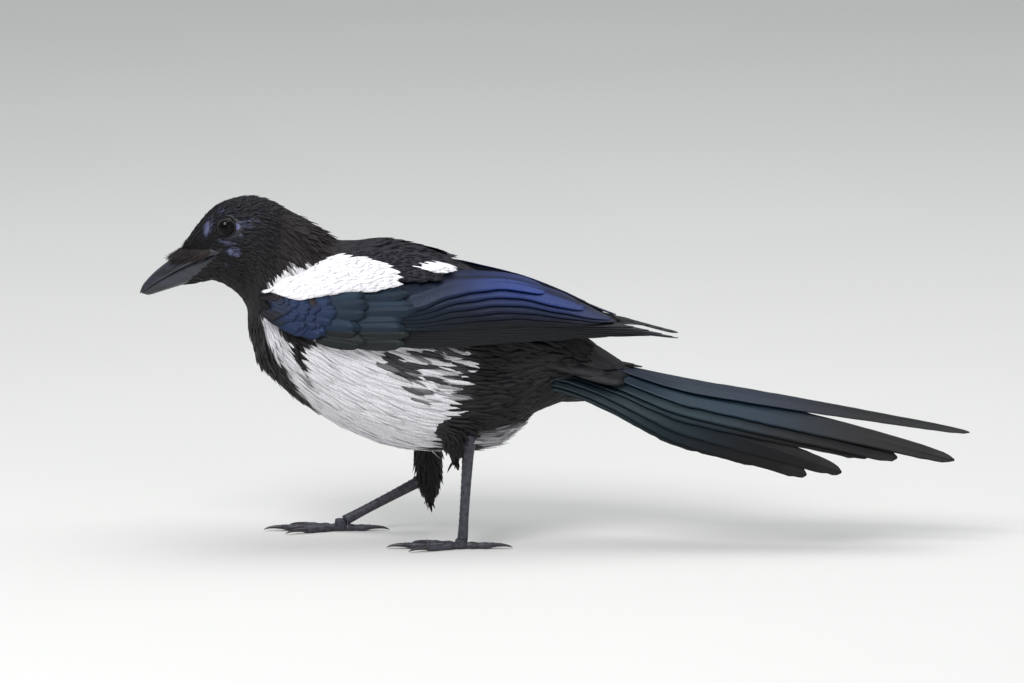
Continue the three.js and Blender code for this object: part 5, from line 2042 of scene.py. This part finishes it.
@dataclass
class Studio:
    """A pale floor, soft lamps and a far camera at the picture's angle."""

    picture: tuple[int, int] = (1024, 683)
    px_per_mm: float = 2.18
    middle: tuple[float, float, float] = (-19.95, 0.0, 92.6)
    distance: float = 6.0
    elevation: float = 10.0
    sensor: float = 36.0
    reach: float = 30000.0  # of the floor each way, so that its edge is out of sight
    # Name, place, size and strength of each lamp
    lamps: tuple[tuple[str, tuple[float, float, float], float, float], ...] = (
        ("key", (-0.7, -1.1, 1.5), 0.8, 25),
        ("top", (0.3, 0.2, 1.7), 1.4, 18),
        ("fill", (0.9, -1.6, 0.6), 1.6, 6),
    )

    def floor_material(self) -> Material:
        """Matte paper with a faint unevenness."""
        mat, tree, shader = new_material("matte paper")
        where = put(tree, "ShaderNodeTexCoord")
        cloud = put(tree, NOISE, links={"Vector": out(where, "Object"), "Scale": 3.0, "Detail": 2.0})
        blend = put(tree, "ShaderNodeMix", {"data_type": "RGBA"}, {
            0: out(cloud, "Fac"), 6: linear("#d3d3d0"), 7: linear("#d8d8d5"),
        })
        feed(tree, shader, {"Base Color": out(blend, 2), "Roughness": 0.9})
        return mat

    def lamp(self, name: str, place: tuple[float, float, float], size: float, power: float) -> None:
        """Adds a soft square lamp that points at the bird.

        Args:
            name: Its name.
            place: Where it hangs, in metres.
            size: Its side.
            power: Its strength in watts.
        """
        light = bpy.data.lights.new(name, "AREA")
        light.size, light.energy = size, power
        lamp = bpy.data.objects.new(name, light)
        lamp.location = place
        aim = Vector(self.middle) * MM - lamp.location
        lamp.rotation_euler = aim.to_track_quat("-Z", "Y").to_euler()
        bpy.context.scene.collection.objects.link(lamp)

    def build(self) -> None:
        """Makes the floor, the lamps and the camera."""
        corners = [(x * self.reach, y * self.reach, 0) for x, y in ((-1, -1), (1, -1), (1, 1), (-1, 1))]
        floor = make_mesh("floor", np.array(corners), [(0, 1, 2, 3)])
        floor.data.materials.append(self.floor_material())
        world = bpy.data.worlds.new("soft sky")
        world.use_nodes = True
        sky = world.node_tree.nodes["Background"]
        feed(world.node_tree, sky, {"Color": linear("#e4e8ee"), "Strength": 0.5})
        bpy.context.scene.world = world
        for lamp in self.lamps:
            self.lamp(*lamp)
        lens = bpy.data.cameras.new("camera")
        camera = bpy.data.objects.new("camera", lens)
        angle = math.radians(self.elevation)
        away = Vector((0, -math.cos(angle), math.sin(angle)))
        camera.location = Vector(self.middle) * MM + away * self.distance
        camera.rotation_euler = (-away).to_track_quat("-Z", "Y").to_euler()
        lens.sensor_width = self.sensor
        lens.lens = self.sensor * self.distance / (self.picture[0] / self.px_per_mm * MM)
        lens.clip_end = 30
        bpy.context.scene.collection.objects.link(camera)
        bpy.context.scene.camera = camera
        bpy.context.scene.view_settings.view_transform = "Standard"


def main() -> None:
    """Builds the bird and its studio."""
    logging.basicConfig(level=logging.INFO, format="%(message)s")
    Studio().build()
    form, marks, sheet = BodyForm(), Markings(), WingSheet()
    body, scatter = BodyMap(form), Scatter()
    skin = Skin(form, body, marks).build()
    Coat(skin, body, marks, sheet, scatter).build()
    Wing(sheet, body, scatter, marks).build()
    Tail(body, scatter).build()
    bill = Bill()
    bill.build()
    Face(body, scatter, bill).build()
    Tufts(form, body, scatter).build()
    hide, horn = LEG_HIDE.material(), CLAW_HORN.material()
    Leg("left", -22, (-39.4, 53), (-42.6, 4.2), -1, scatter, body).build(hide, horn)
    Leg("right", 22, (-55.4, 27), (-96.5, 5.2), -4, scatter, body).build(hide, horn)
    for kit in scatter.kits.values():
        for template in list(kit.objects):
            bpy.data.objects.remove(template, do_unlink=True)


if __name__ == "__main__":
    main()
